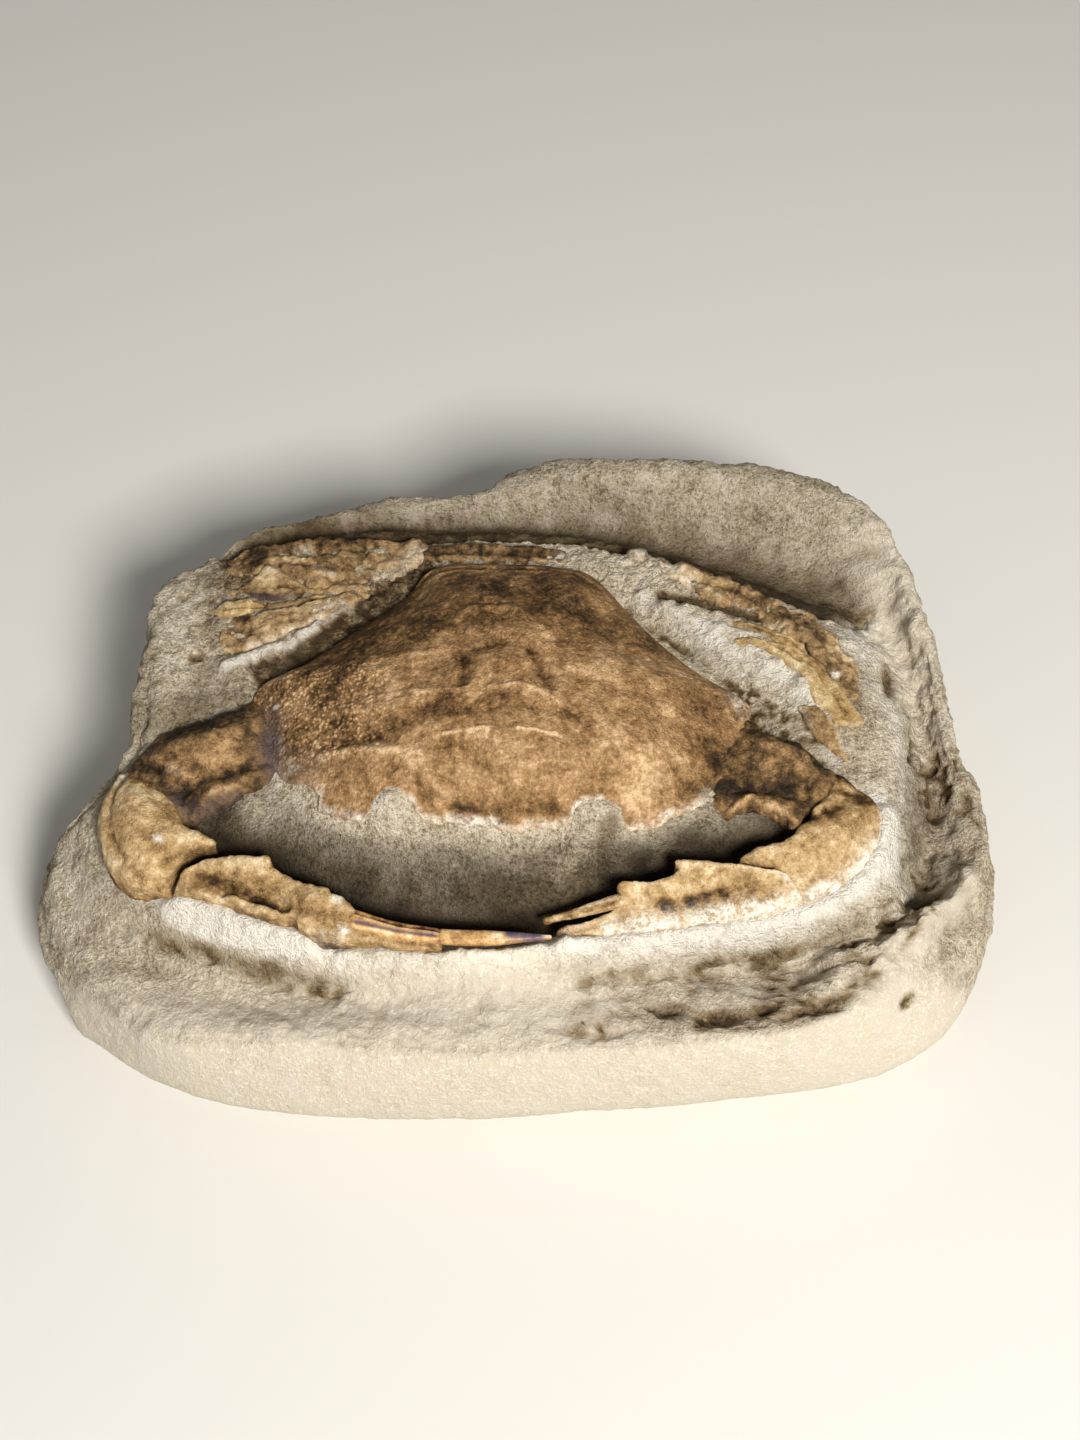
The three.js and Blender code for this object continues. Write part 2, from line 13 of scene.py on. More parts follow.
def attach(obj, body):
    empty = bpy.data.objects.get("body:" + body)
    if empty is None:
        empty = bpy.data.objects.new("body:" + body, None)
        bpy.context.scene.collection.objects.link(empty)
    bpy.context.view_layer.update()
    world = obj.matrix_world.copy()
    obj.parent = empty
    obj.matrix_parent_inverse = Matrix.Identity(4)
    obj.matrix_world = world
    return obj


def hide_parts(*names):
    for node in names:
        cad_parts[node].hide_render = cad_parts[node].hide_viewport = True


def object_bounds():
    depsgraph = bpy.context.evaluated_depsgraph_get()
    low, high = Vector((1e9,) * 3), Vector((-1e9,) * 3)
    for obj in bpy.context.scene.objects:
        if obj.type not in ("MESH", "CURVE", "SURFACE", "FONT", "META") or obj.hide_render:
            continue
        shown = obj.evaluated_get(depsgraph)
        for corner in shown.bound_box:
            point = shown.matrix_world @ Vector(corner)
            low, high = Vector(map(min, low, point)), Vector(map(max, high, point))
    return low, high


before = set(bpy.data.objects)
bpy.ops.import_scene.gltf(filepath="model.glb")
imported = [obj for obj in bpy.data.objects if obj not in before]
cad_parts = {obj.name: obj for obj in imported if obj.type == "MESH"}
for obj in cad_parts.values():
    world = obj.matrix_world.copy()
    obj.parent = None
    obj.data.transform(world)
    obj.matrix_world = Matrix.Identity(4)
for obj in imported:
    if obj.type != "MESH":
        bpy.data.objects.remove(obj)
CAD_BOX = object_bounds()
MM = 0.001

# ---------------------------------------------------------------- driving sizes, as in the CAD model

DOME_TOP = 57.5  # height of the crown of the carapace
CENTRE = np.array([-2.0, 5.0])  # the crown, which every ring goes round
LIP = 2.4  # how deep the edge of the carapace reaches into the stone
CORE_DROP = 1.2  # how far the stone under the shell lies below the dome
STONE_COLUMNS = 820
STONE_SPANS = (20, 20, 16, 14, 7, 20, 4)  # rows from each ring of the slab to the next
SHELL_COLUMNS = 860
SHELL_ROWS = 104
VOXEL = 0.33  # grid of the limbs
GROOVE_SHADE = 0.22  # how much darker a groove of a limb is than the shell round it

# Rings round the crown, as (x, y, z): the edge of the shell, then the stone from the ledge beside it to the sole
DOME_EDGE = [
    (46, 3, 41.8), (43, 5.8, 42.2), (36.4, 10, 43), (28.6, 16.5, 44.5), (21.8, 24.4, 45.5), (14.5, 33, 46.5),
    (8.6, 34.4, 47), (-2.3, 35, 47.2), (-16, 34.6, 47), (-23, 26.8, 46), (-33.8, 18.4, 45), (-43.5, 11.8, 43),
    (-51, 8, 42), (-52.5, 3.5, 41.3), (-50.5, -3, 41), (-47.5, -9.5, 41.2), (-43, -16.5, 41.6), (-36, -22, 42),
    (-28, -24.8, 42.6), (-17, -25.6, 43), (-3, -26.2, 43), (9, -26, 43), (20, -26, 42.7), (28, -24.6, 42.5),
    (35, -20.5, 42.4), (38.5, -15, 42), (41.5, -9.5, 41.6), (44.5, -3, 41.5),
]
LEDGE = [
    (60, 1, 42.5), (57, 12, 43.5), (48, 22, 44.5), (36, 30, 45), (22, 37, 45.2), (4, 40, 44), (-16, 40.5, 44),
    (-30, 34, 44), (-44, 27, 43.5), (-56, 19, 43), (-59, 8, 42), (-60, -4, 38), (-58, -17, 37.5), (-54, -25, 35.5),
    (-47, -29.5, 32.5), (-38, -34, 30), (-27, -37.8, 28.5), (-14, -40, 28), (0, -40.5, 28), (11, -38, 28),
    (21, -33.5, 28.5), (32, -29.5, 30), (42, -27.5, 33), (52, -24, 36), (60, -14, 38), (63, -6, 40),
]
PLINTH = [
    (76, -5, 35.5), (75.5, 9, 37), (72, 20, 39), (61, 27.4, 41), (44.5, 34.2, 43), (28, 40.4, 43.5),
    (5, 45.5, 43.5), (-18, 46, 43.5), (-36, 46, 43), (-52, 42, 43), (-61, 34, 43), (-66, 21, 43), (-68, 7, 42),
    (-73.4, -4, 38), (-82, -12.5, 31.5), (-83, -24, 29), (-76, -34, 28), (-60.5, -40.5, 28), (-41, -44.5, 28),
    (-22, -46.5, 28.5), (-3, -47, 29), (16, -45, 28.5), (35, -42, 28), (54.5, -39.5, 28), (68, -34, 29.5),
    (74, -20, 33.5),
]
MOAT = [
    (83.5, -4, 24.5), (82.5, 11, 27.5), (79.5, 25, 29.5), (73, 35.5, 30.5), (60.5, 41, 32.5), (43.5, 46.5, 33.5),
    (26, 52, 34.5), (4.5, 54, 35.5), (-15, 54, 36.5), (-36.5, 51.5, 38), (-53, 46.5, 40), (-63, 38, 43),
    (-69, 26, 43.5), (-71, 12, 43.3), (-71.8, 1, 41), (-75, -6.4, 35.6), (-86.5, -16, 28), (-88, -26, 24.5),
    (-81, -37.5, 22.5), (-62, -46, 21), (-42, -50.5, 21.5), (-22, -52, 24), (-3, -52, 26), (16, -50, 24.5),
    (35, -46.5, 22), (55, -44, 21.5), (71, -38, 20.5), (79.5, -28, 19.5), (83.5, -16, 21),
]
CREST = [
    (91, -12, 27.5), (87.3, 2, 30), (86, 14, 32.5), (83.5, 30, 35.5), (79, 47.5, 39), (69, 57.5, 42.5),
    (52, 61.5, 44.5), (28, 62.5, 45.5), (9, 62, 44.5), (-4, 59.5, 42.5), (-26, 56, 41), (-43, 52.5, 41.5),
    (-57, 47, 42.5), (-67, 37.5, 43), (-72.6, 28, 43.5), (-74, 14, 43.3), (-73.6, 2, 39.5), (-76.6, -6.6, 34.2),
    (-88.5, -15.5, 26.5), (-92, -26, 22.5), (-86, -41, 20), (-76, -50, 21), (-60, -56.5, 23), (-40, -58.5, 24.5),
    (-15, -59.5, 25), (5, -60.5, 25.5), (25, -60, 26), (45, -57.5, 26.5), (62, -51, 26.5), (73.5, -41.5, 27),
    (80, -35, 27), (86, -30, 26.5), (91, -23, 26),
]
BROW = [
    (93.5, -9, 25.5), (90.2, 2.5, 28.5), (88.4, 15, 31), (85.9, 31, 33.5), (82.3, 46, 36.5), (76.5, 57.5, 39),
    (66.6, 63.2, 41), (52, 65.6, 43), (36, 67.2, 44), (20, 67.3, 44), (7, 67.4, 42.5), (-2, 66.4, 40.5),
    (-7.5, 62, 40), (-26, 59.2, 39.5), (-38, 56, 40), (-53, 50.3, 41.5), (-62, 42.5, 42), (-73.2, 34, 42),
    (-74.8, 24, 42.5), (-76, 9, 41.5), (-75.6, 0.6, 38), (-76.2, -3.2, 35.5), (-80, -7.2, 32.5), (-83.5, -10.5, 30),
    (-91, -17.2, 24.5), (-94.5, -28, 18), (-89.3, -42.6, 15.5), (-78.5, -52.6, 18), (-66, -59.5, 20.5),
    (-36, -61.5, 23.5), (-12, -63.5, 23.5), (5, -63.2, 24.5), (25, -62.5, 25), (48, -60, 25), (66, -53.5, 24.5),
    (78.5, -43, 23.5), (87.5, -33.5, 22.5), (93.5, -23, 22.5),
]
SKIRT = [
    (96.6, -14, 15), (92.6, -1, 16), (89.6, 7, 18), (88.4, 20, 18), (86.4, 34, 19), (83, 47.5, 20), (76, 58, 20),
    (64, 64.6, 20), (45, 66.3, 20), (18, 66.4, 20), (0, 65.8, 20), (-12, 62, 20), (-34, 58.2, 20), (-53, 51.6, 20),
    (-68, 41.2, 20), (-76.6, 29, 20), (-78.4, 12, 20), (-80, -4, 18), (-87, -12, 14), (-95.5, -19.5, 13),
    (-96.8, -27, 13), (-94, -38.6, 12), (-90.4, -44, 9), (-86.6, -50, 6), (-81.2, -53.8, 5.5), (-72.1, -59.2, 5),
    (-57.7, -64.6, 5), (-42, -66.8, 5), (-18.7, -68, 5), (8.4, -66.6, 5), (35.6, -64.6, 5), (65.2, -60.6, 5),
    (75.1, -57.2, 6), (83.4, -51.8, 7), (91, -42.2, 9), (95.4, -31, 12), (96.5, -22, 14),
]
SOLE = [
    (92, -13, 0), (88, 0, 0), (85.5, 8, 0), (84, 20, 0), (82, 33, 0), (78.5, 45.5, 0), (72, 55, 0), (61, 61, 0),
    (44, 63, 0), (18, 63, 0), (0, 61.5, 0), (-12, 58.5, 0), (-33, 54.5, 0), (-51, 48, 0), (-64.5, 38.5, 0),
    (-72.5, 27, 0), (-74, 11, 0), (-76, -5, 0), (-83, -13, 0), (-90, -20.5, 0), (-92, -28, 0), (-90, -37, 0),
    (-86.5, -42.5, 0), (-83, -48, 0), (-78.6, -51.6, 0), (-71, -56.6, 0), (-57, -62.2, 0), (-42, -64.6, 0),
    (-18.7, -65.8, 0), (8.4, -64.4, 0), (35.6, -61.8, 0), (64.5, -57.5, 0), (73.5, -54, 0), (81, -49.5, 0),
    (87.5, -41, 0), (91.5, -31, 0), (92.5, -22, 0),
]
# The torn edge of the shell, as (x, y)
MARGIN = [
    (-52.5, 3.5), (-50.5, -3), (-47.5, -9.5), (-44.5, -14), (-38.4, -17), (-37.4, -21.3), (-33.8, -22.8),
    (-29.5, -24.2), (-27.6, -23.2), (-26.4, -21.6), (-24, -20.6), (-21.2, -21.3), (-19, -23), (-17.6, -24.8),
    (-14, -24.8), (-9.8, -25.4), (-3, -26), (5.8, -25.9), (9.5, -25.2), (12.8, -23.2), (16, -22.3), (18.6, -22.8),
    (19.6, -25.6), (24.5, -25.6), (27.2, -24.4), (30, -23), (33, -22), (35.2, -20.2), (38, -15.6), (41.5, -9.3),
    (44.5, -3), (46, 2.4), (45.6, 3.6), (43, 5.8), (36.4, 10), (28.6, 16.5), (21.8, 24.4), (18.2, 29.2),
    (14.2, 33), (8.6, 34.4), (-2.3, 35), (-16.5, 34.4), (-18.8, 33), (-23, 26.8), (-33.8, 18.4), (-43.5, 11.8),
    (-51, 8),
]


# ---------------------------------------------------------------- numbers: noise, curves and distances

def lattice(cell, seed):
    """A random number from 0 to 1 at each point of a whole-number lattice."""
    c = cell.astype(np.int64).astype(np.uint32)
    h = c[..., 0] * np.uint32(374761393) + c[..., 1] * np.uint32(668265263) + c[..., 2] * np.uint32(2246822519)
    h = h + np.uint32(seed * 3266489917 % 4294967296)
    h = (h ^ (h >> np.uint32(13))) * np.uint32(1274126177)
    h = (h ^ (h >> np.uint32(15))) * np.uint32(2654435761)
    return ((h ^ (h >> np.uint32(16))) & np.uint32(0xFFFFFF)) / float(0xFFFFFF)


def noise(p, size, seed):
    """Smooth noise from -1 to 1 whose lumps are about size across. size may be one number or three."""
    q = p / np.asarray(size, float)
    cell = np.floor(q)
    f = q - cell
    f = f * f * f * (f * (f * 6 - 15) + 10)
    total = 0.0
    for corner in np.ndindex(2, 2, 2):
        share = np.prod(np.where(corner, f, 1 - f), axis=-1)
        total = total + share * lattice(cell + corner, seed)
    return total * 2 - 1


def rough(p, size, seed, octaves=4, gain=0.5):
    """Several noises on top of each other, each half as wide, from about -1 to 1."""
    size = np.asarray(size, float)
    total = sum(gain ** k * noise(p, size / 2 ** k, seed + k) for k in range(octaves))
    return total / sum(gain ** k for k in range(octaves)) * 1.6


def creases(p, size, seed, octaves=3):
    """Like rough, but in sharp little crests."""
    total = sum(0.5 ** k * (1 - 2 * np.abs(noise(p, size / 2 ** k, seed + k))) for k in range(octaves))
    return total / sum(0.5 ** k for k in range(octaves))


def cells(p, size, seed):
    """Distance to the nearest of a scatter of points, in units of size, and that point's random number."""
    q = p / size
    base = np.floor(q)
    best = np.full(len(p), 9.0)
    mark = np.zeros(len(p))
    for corner in np.ndindex(3, 3, 3):
        cell = base + np.array(corner) - 1
        spot = cell + np.stack([lattice(cell, seed + k) for k in range(3)], axis=-1)
        d = np.linalg.norm(spot - q, axis=-1)
        near = d < best
        best = np.where(near, d, best)
        mark = np.where(near, lattice(cell, seed + 3), mark)
    return best, mark


def catmull(knots, spans, closed=False):
    """Points on a centripetal Catmull-Rom curve through knots, with so many points in each span."""
    p = np.asarray(knots, float)
    p = np.concatenate([p[-1:], p, p[:2]] if closed else [2 * p[:1] - p[1:2], p, 2 * p[-1:] - p[-2:-1]])
    out = []
    for i, count in enumerate(np.broadcast_to(spans, len(p) - 3)):
        a, b, c, d = p[i:i + 4]
        da, db, dc = [np.maximum(np.linalg.norm(v - u, axis=-1, keepdims=True), 1e-6) ** 0.5
                      for u, v in ((a, b), (b, c), (c, d))]
        m1 = ((b - a) / da - (c - a) / (da + db) + (c - b) / db) * db
        m2 = ((c - b) / db - (d - b) / (db + dc) + (d - c) / dc) * db
        t = (np.arange(count) / count).reshape(-1, *[1] * b.ndim)
        out.append(b + m1 * t + (3 * (c - b) - 2 * m1 - m2) * t ** 2 + (2 * (b - c) + m1 + m2) * t ** 3)
    if not closed:
        out.append(p[-2:-1])
    return np.concatenate(out)


def polar(points, angles):
    """Radius round the crown, and height if given, of a closed outline at each angle."""
    p = catmull(points, 12, closed=True)
    across = p[:, :2] - CENTRE
    angle = np.arctan2(across[:, 1], across[:, 0])
    order = np.argsort(angle)
    values = [np.linalg.norm(across, axis=1), *p.T[2:]]
    return [np.interp(angles, angle[order], v[order], period=2 * math.pi) for v in values]


def ring(points, angles):
    """Points of a closed outline (x, y, z) at each angle round the crown."""
    radius, z = polar(points, angles)
    return np.stack([CENTRE[0] + radius * np.cos(angles), CENTRE[1] + radius * np.sin(angles), z], axis=-1)


TABLE_ANGLES = np.linspace(-math.pi, math.pi, 1441)
EDGE_RADIUS, EDGE_Z = polar(DOME_EDGE, TABLE_ANGLES)


def dome(p):
    """Height of the plain carapace over points (x, y)."""
    across = p[..., :2] - CENTRE
    angle = np.arctan2(across[..., 1], across[..., 0])
    share = np.minimum(np.linalg.norm(across, axis=-1) / np.interp(angle, TABLE_ANGLES, EDGE_RADIUS), 1)
    edge = np.interp(angle, TABLE_ANGLES, EDGE_Z)
    front = np.maximum(-np.sin(angle), 0) ** 2
    back = np.maximum(np.sin(angle), 0) ** 2
    return edge + (DOME_TOP - edge) * (1 - share ** (2.1 + 1.1 * front + 0.3 * back))


def away(p, path):
    """Distance from each point to a line of points, in as many dimensions as the line has."""
    path = np.asarray(path, float)
    q = p[..., :path.shape[1]]
    best = np.full(q.shape[:-1], 1e9)
    for a, b in zip(path[:-1], path[1:]):
        t = np.clip(((q - a) @ (b - a)) / np.dot(b - a, b - a), 0, 1)
        best = np.minimum(best, np.linalg.norm(q - a - t[..., None] * (b - a), axis=-1))
    return best


def stroke(p, path, width):
    """1 along a line of points, falling off over width."""
    return np.exp(-(away(p, path) / width) ** 2)


def lee(p, path, left, right):
    """1 along a line of points (x, y), falling off over left on its left side and over right on its other side."""
    path = np.asarray(path, float)
    q = p[..., :2]
    best, width = np.full(q.shape[:-1], 1e9), np.full(q.shape[:-1], left)
    for a, b in zip(path[:-1], path[1:]):
        run = b - a
        t = np.clip(((q - a) @ run) / (run @ run), 0, 1)
        d = np.linalg.norm(q - a - t[..., None] * run, axis=-1)
        turn = run[0] * (q[..., 1] - a[1]) - run[1] * (q[..., 0] - a[0])
        width = np.where(d < best, np.where(turn > 0, left, right), width)
        best = np.minimum(best, d)
    return np.exp(-(best / width) ** 2)


def turned(p, degrees):
    """The points as seen along axes turned about z."""
    c, s = math.cos(math.radians(degrees)), math.sin(math.radians(degrees))
    return np.stack([c * p[..., 0] + s * p[..., 1], c * p[..., 1] - s * p[..., 0], p[..., 2]], axis=-1)


def blob(p, x, y, wide, deep, turn=0.0):
    """1 at (x, y), falling off over an oval."""
    c, s = math.cos(math.radians(turn)), math.sin(math.radians(turn))
    u, v = p[..., 0] - x, p[..., 1] - y
    return np.exp(-((c * u + s * v) / wide) ** 2 - ((c * v - s * u) / deep) ** 2)


def patch(p, outline, soft):
    """1 inside a closed outline (x, y), falling to 0 over soft outside it."""
    rim = np.asarray([*outline, outline[0]], float)
    x, y = p[..., 0], p[..., 1]
    inside = np.zeros(x.shape, bool)
    for (ax, ay), (bx, by) in zip(rim[:-1], rim[1:]):
        inside ^= ((ay > y) != (by > y)) & (x < ax + (y - ay) * (bx - ax) / (by - ay + 1e-9))
    return np.where(inside, 1.0, stroke(p, rim, soft))


def layers(p, *terms):
    """The sum of terms (weight, shape, that shape's numbers), such as (0.5, blob, x, y, wide, deep)."""
    return sum(weight * shape(p, *numbers) for weight, shape, *numbers in terms)


def step(x, low, high):
    """0 below low, 1 above high, and smooth between. Low may be the larger."""
    t = np.clip((x - low) / (high - low), 0, 1)
    return t * t * (3 - 2 * t)


# ---------------------------------------------------------------- meshes

def grid_faces(rows, columns):
    """Quads over rows of points that each close on themselves."""
    r, c = np.meshgrid(np.arange(rows - 1), np.arange(columns), indexing="ij")
    n = (c + 1) % columns
    quads = np.stack([r * columns + c, (r + 1) * columns + c, (r + 1) * columns + n, r * columns + n], axis=-1)
    return quads.reshape(-1, 4)


def grid_normals(g):
    """Unit normals of a grid (rows, columns, 3) that closes on itself in each row."""
    along = np.gradient(g, axis=0)
    round_ = np.roll(g, -1, axis=1) - np.roll(g, 1, axis=1)
    n = np.cross(along, round_)
    return n / np.maximum(np.linalg.norm(n, axis=-1, keepdims=True), 1e-9)


def make_mesh(name, points, faces, masks=None):
    """An object from points in millimetres. masks are numbers for each point that its material reads."""
    mesh = bpy.data.meshes.new(name)
    mesh.from_pydata((np.asarray(points) * MM).tolist(), [], [list(f) for f in faces])
    for key, values in (masks or {}).items():
        mesh.attributes.new(key, "FLOAT", "POINT").data.foreach_set("value", np.asarray(values, np.float32))
    mesh.polygons.foreach_set("use_smooth", [True] * len(mesh.polygons))
    mesh.update()
    obj = bpy.data.objects.new(name, mesh)
    bpy.context.collection.objects.link(obj)
    return obj


def close_ends(obj, rows, columns):
    """Faces over the first and last row of a grid."""
    b = bmesh.new()
    b.from_mesh(obj.data)
    b.verts.ensure_lookup_table()
    for start in (0, (rows - 1) * columns):
        b.faces.new([b.verts[start + k] for k in range(columns)])
    bmesh.ops.recalc_face_normals(b, faces=b.faces)
    b.to_mesh(obj.data)
    b.free()


def place(obj, node, material):
    """obj stands in for a CAD node, which it hides; it takes the given material and rides with the root body."""
    obj.data.materials.append(material)
    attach(obj, "root")
    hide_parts(node)


# ---------------------------------------------------------------- materials

def srgb(r, g, b):
    """A colour given as 0 to 255 on a screen, as Blender wants it."""
    return [((c / 255 + 0.055) / 1.055) ** 2.4 if c > 10 else c / 3294.6 for c in (r, g, b)] + [1.0]


class Nodes:
    """Short ways to build one material's node tree. Inputs are numbers, colours or other nodes' sockets."""

    def __init__(self, name):
        self.material = bpy.data.materials.new(name)
        self.material.use_nodes = True
        self.tree = self.material.node_tree
        self.shader = self.tree.nodes["Principled BSDF"]
        self.place = self.add("ShaderNodeTexCoord").outputs["Object"]

    def add(self, kind, inputs=None, **props):
        """A new node with its inputs and properties set."""
        made = self.tree.nodes.new(kind)
        for key, value in props.items():
            setattr(made, key, value)
        for key, value in (inputs or {}).items():
            self.put(made.inputs[key], value)
        return made

    def put(self, socket, value):
        """Links a socket to an input, or sets the input's own value."""
        if isinstance(value, bpy.types.NodeSocket):
            self.tree.links.new(value, socket)
        else:
            socket.default_value = value

    def mask(self, name):
        """A number that the mesh holds for each point."""
        return self.add("ShaderNodeAttribute", attribute_name=name).outputs["Fac"]

    def noise(self, size, detail=4.0, gain=0.55, warp=0.0):
        """Noise with lumps about size millimetres across."""
        return self.add("ShaderNodeTexNoise", {"Vector": self.place, "Scale": 1 / (size * MM), "Detail": detail,
                                               "Roughness": gain, "Distortion": warp}).outputs["Fac"]

    def grains(self, size):
        """Round grains about size across, as 0 between them to 1 on top."""
        made = self.add("ShaderNodeTexVoronoi", {"Vector": self.place, "Scale": 1 / (size * MM)})
        return self.fit(made.outputs["Distance"], 0.62, 0.1)

    def fit(self, value, low, high, to_low=0.0, to_high=1.0):
        """The value's range from low to high, smoothly mapped to another."""
        return self.add("ShaderNodeMapRange", {"Value": value, "From Min": low, "From Max": high,
                                               "To Min": to_low, "To Max": to_high},
                        interpolation_type="SMOOTHSTEP").outputs["Result"]

    def math(self, operation, a, b=0.0, clamp=False):
        """One sum of two numbers."""
        return self.add("ShaderNodeMath", {0: a, 1: b}, operation=operation, use_clamp=clamp).outputs[0]

    def total(self, *parts):
        """The sum of (socket, weight)."""
        sums = [self.math("MULTIPLY", *part) for part in parts]
        while len(sums) > 1:
            sums.append(self.math("ADD", sums.pop(0), sums.pop(0)))
        return sums[0]

    def mix(self, share, a, b, blend="MIX"):
        """Colour a with share of colour b over it."""
        made = self.add("ShaderNodeMix", {"Factor": share}, data_type="RGBA", blend_type=blend)
        self.put(made.inputs[6], a)
        self.put(made.inputs[7], b)
        return made.outputs[2]

    def ramp(self, value, *stops):
        """A colour picked by the value from stops (place, colour)."""
        made = self.add("ShaderNodeValToRGB", {"Fac": value})
        points = made.color_ramp.elements
        while len(points) < len(stops):
            points.new(0.5)
        for point, (at, colour) in zip(points, stops):
            point.position, point.color = at, colour
        return made.outputs["Color"]

    def bump(self, height, depth):
        """A normal bent by a height that stands for depth millimetres."""
        far = self.math("MULTIPLY", depth, MM) if isinstance(depth, bpy.types.NodeSocket) else depth * MM
        inputs = {"Height": height, "Distance": far, "Strength": 1.0}
        return self.add("ShaderNodeBump", inputs).outputs["Normal"]

    def finish(self, colour, roughness, normal):
        """Wires the three into the shader and hands back the material."""
        self.put(self.shader.inputs["Base Color"], colour)
        self.put(self.shader.inputs["Roughness"], roughness)
        self.put(self.shader.inputs["Normal"], normal)
        return self.material


BEIGE_DARK = srgb(150, 134, 106)
BEIGE = srgb(213, 198, 170)
BEIGE_PALE = srgb(240, 229, 208)
CREAM = srgb(200, 192, 176)
CREAM_PALE = srgb(226, 215, 196)
CHALK = srgb(255, 248, 234)
SLATE_DARK = srgb(54, 45, 30)
SLATE = srgb(110, 96, 74)
DARK_EARTH_AND_SHADE = srgb(60, 45, 26)
SPECK = srgb(66, 54, 38)
PAINTED_SHADE_TINT = (0.40, 0.365, 0.31, 1.0)  # what the darkest painted shade leaves of the stone's colour
EARTH_AND_SHADE_TINT = (0.40, 0.325, 0.21, 1.0)  # and what brown earth and painted shade leave of it


CRUMBS = [(0.40, srgb(62, 46, 27)), (0.47, srgb(118, 94, 62)), (0.54, srgb(166, 142, 106)),
          (0.61, srgb(208, 189, 156))]
STONE_GLOSS, SHELL_GLOSS = 0.25, 0.26


def stone_material():
    """Fine-grained mudstone: beige where weathered, cream where freshly cut, brown with earth in the grooves; with
    painted highlights on the rims and painted shade in the hollows, the pit and behind the step.
    """
    m = Nodes("mudstone")
    broad, middle, fine = m.noise(9, 4, 0.6), m.noise(2.4, 5, 0.68), m.noise(0.75, 3, 0.75)
    blend = m.total((broad, 0.20), (middle, 0.36), (fine, 0.44))
    weathered = m.ramp(blend, (0.41, BEIGE_DARK), (0.5, BEIGE), (0.58, BEIGE_PALE))
    cut_and_highlight = m.ramp(m.total((middle, 0.3), (fine, 0.7)), (0.36, BEIGE), (0.5, CREAM), (0.66, CREAM_PALE))
    base = m.mix(m.mask("cut_and_highlight"), weathered, cut_and_highlight)
    base = m.mix(m.mask("slate_and_shade"), base, m.ramp(blend, (0.4, SLATE_DARK), (0.6, SLATE)))
    base = m.mix(m.mask("chalk"), base, m.mix(m.fit(middle, 0.3, 0.5), CREAM_PALE, CHALK))
    crumbs = m.ramp(m.total((middle, 0.5), (fine, 0.5)), *CRUMBS)
    base = m.mix(m.math("MULTIPLY", m.mask("stain"), m.fit(broad, 0.3, 0.55, 0.6, 1.0), clamp=True), base, crumbs)
    base = m.mix(m.mask("painted_shade"), base, PAINTED_SHADE_TINT, "MULTIPLY")
    clean = m.math("MAXIMUM", m.mask("cut_and_highlight"), m.mask("chalk"))
    grain = m.math("MULTIPLY", m.fit(m.noise(0.45, 3, 0.7), 0.58, 0.66), m.fit(clean, 0.0, 1.0, 0.65, 0.12))
    base = m.mix(grain, base, SPECK)
    quiet = m.math("MAXIMUM", clean, m.math("MAXIMUM", m.mask("slate_and_shade"), m.mask("painted_shade")))
    pale = m.math("MULTIPLY", m.fit(m.noise(0.42, 2, 0.65), 0.6, 0.7), m.fit(quiet, 0.0, 1.0, 0.55, 0.05))
    base = m.mix(pale, base, CHALK)
    earth_and_shade_amount = m.math("MULTIPLY", m.mask("soil_and_shade"), m.fit(m.total((middle, 0.5), (fine, 0.5)), 0.38, 0.6, 0.55, 1.15),
                  clamp=True)
    base = m.mix(m.fit(earth_and_shade_amount, 0.08, 0.7), base, EARTH_AND_SHADE_TINT, "MULTIPLY")
    base = m.mix(m.math("MULTIPLY", m.fit(earth_and_shade_amount, 0.55, 1.0), 0.85), base, m.mix(fine, DARK_EARTH_AND_SHADE, SLATE_DARK))
    height = m.total((m.noise(1.5, 4, 0.7), 0.8), (fine, 0.65))
    rise = m.bump(height, m.fit(m.mask("cut_and_highlight"), 0.0, 1.0, 1.5, 0.45))
    m.shader.inputs["Specular IOR Level"].default_value = STONE_GLOSS
    return m.finish(base, m.fit(middle, 0.3, 0.7, 0.84, 0.98), rise)


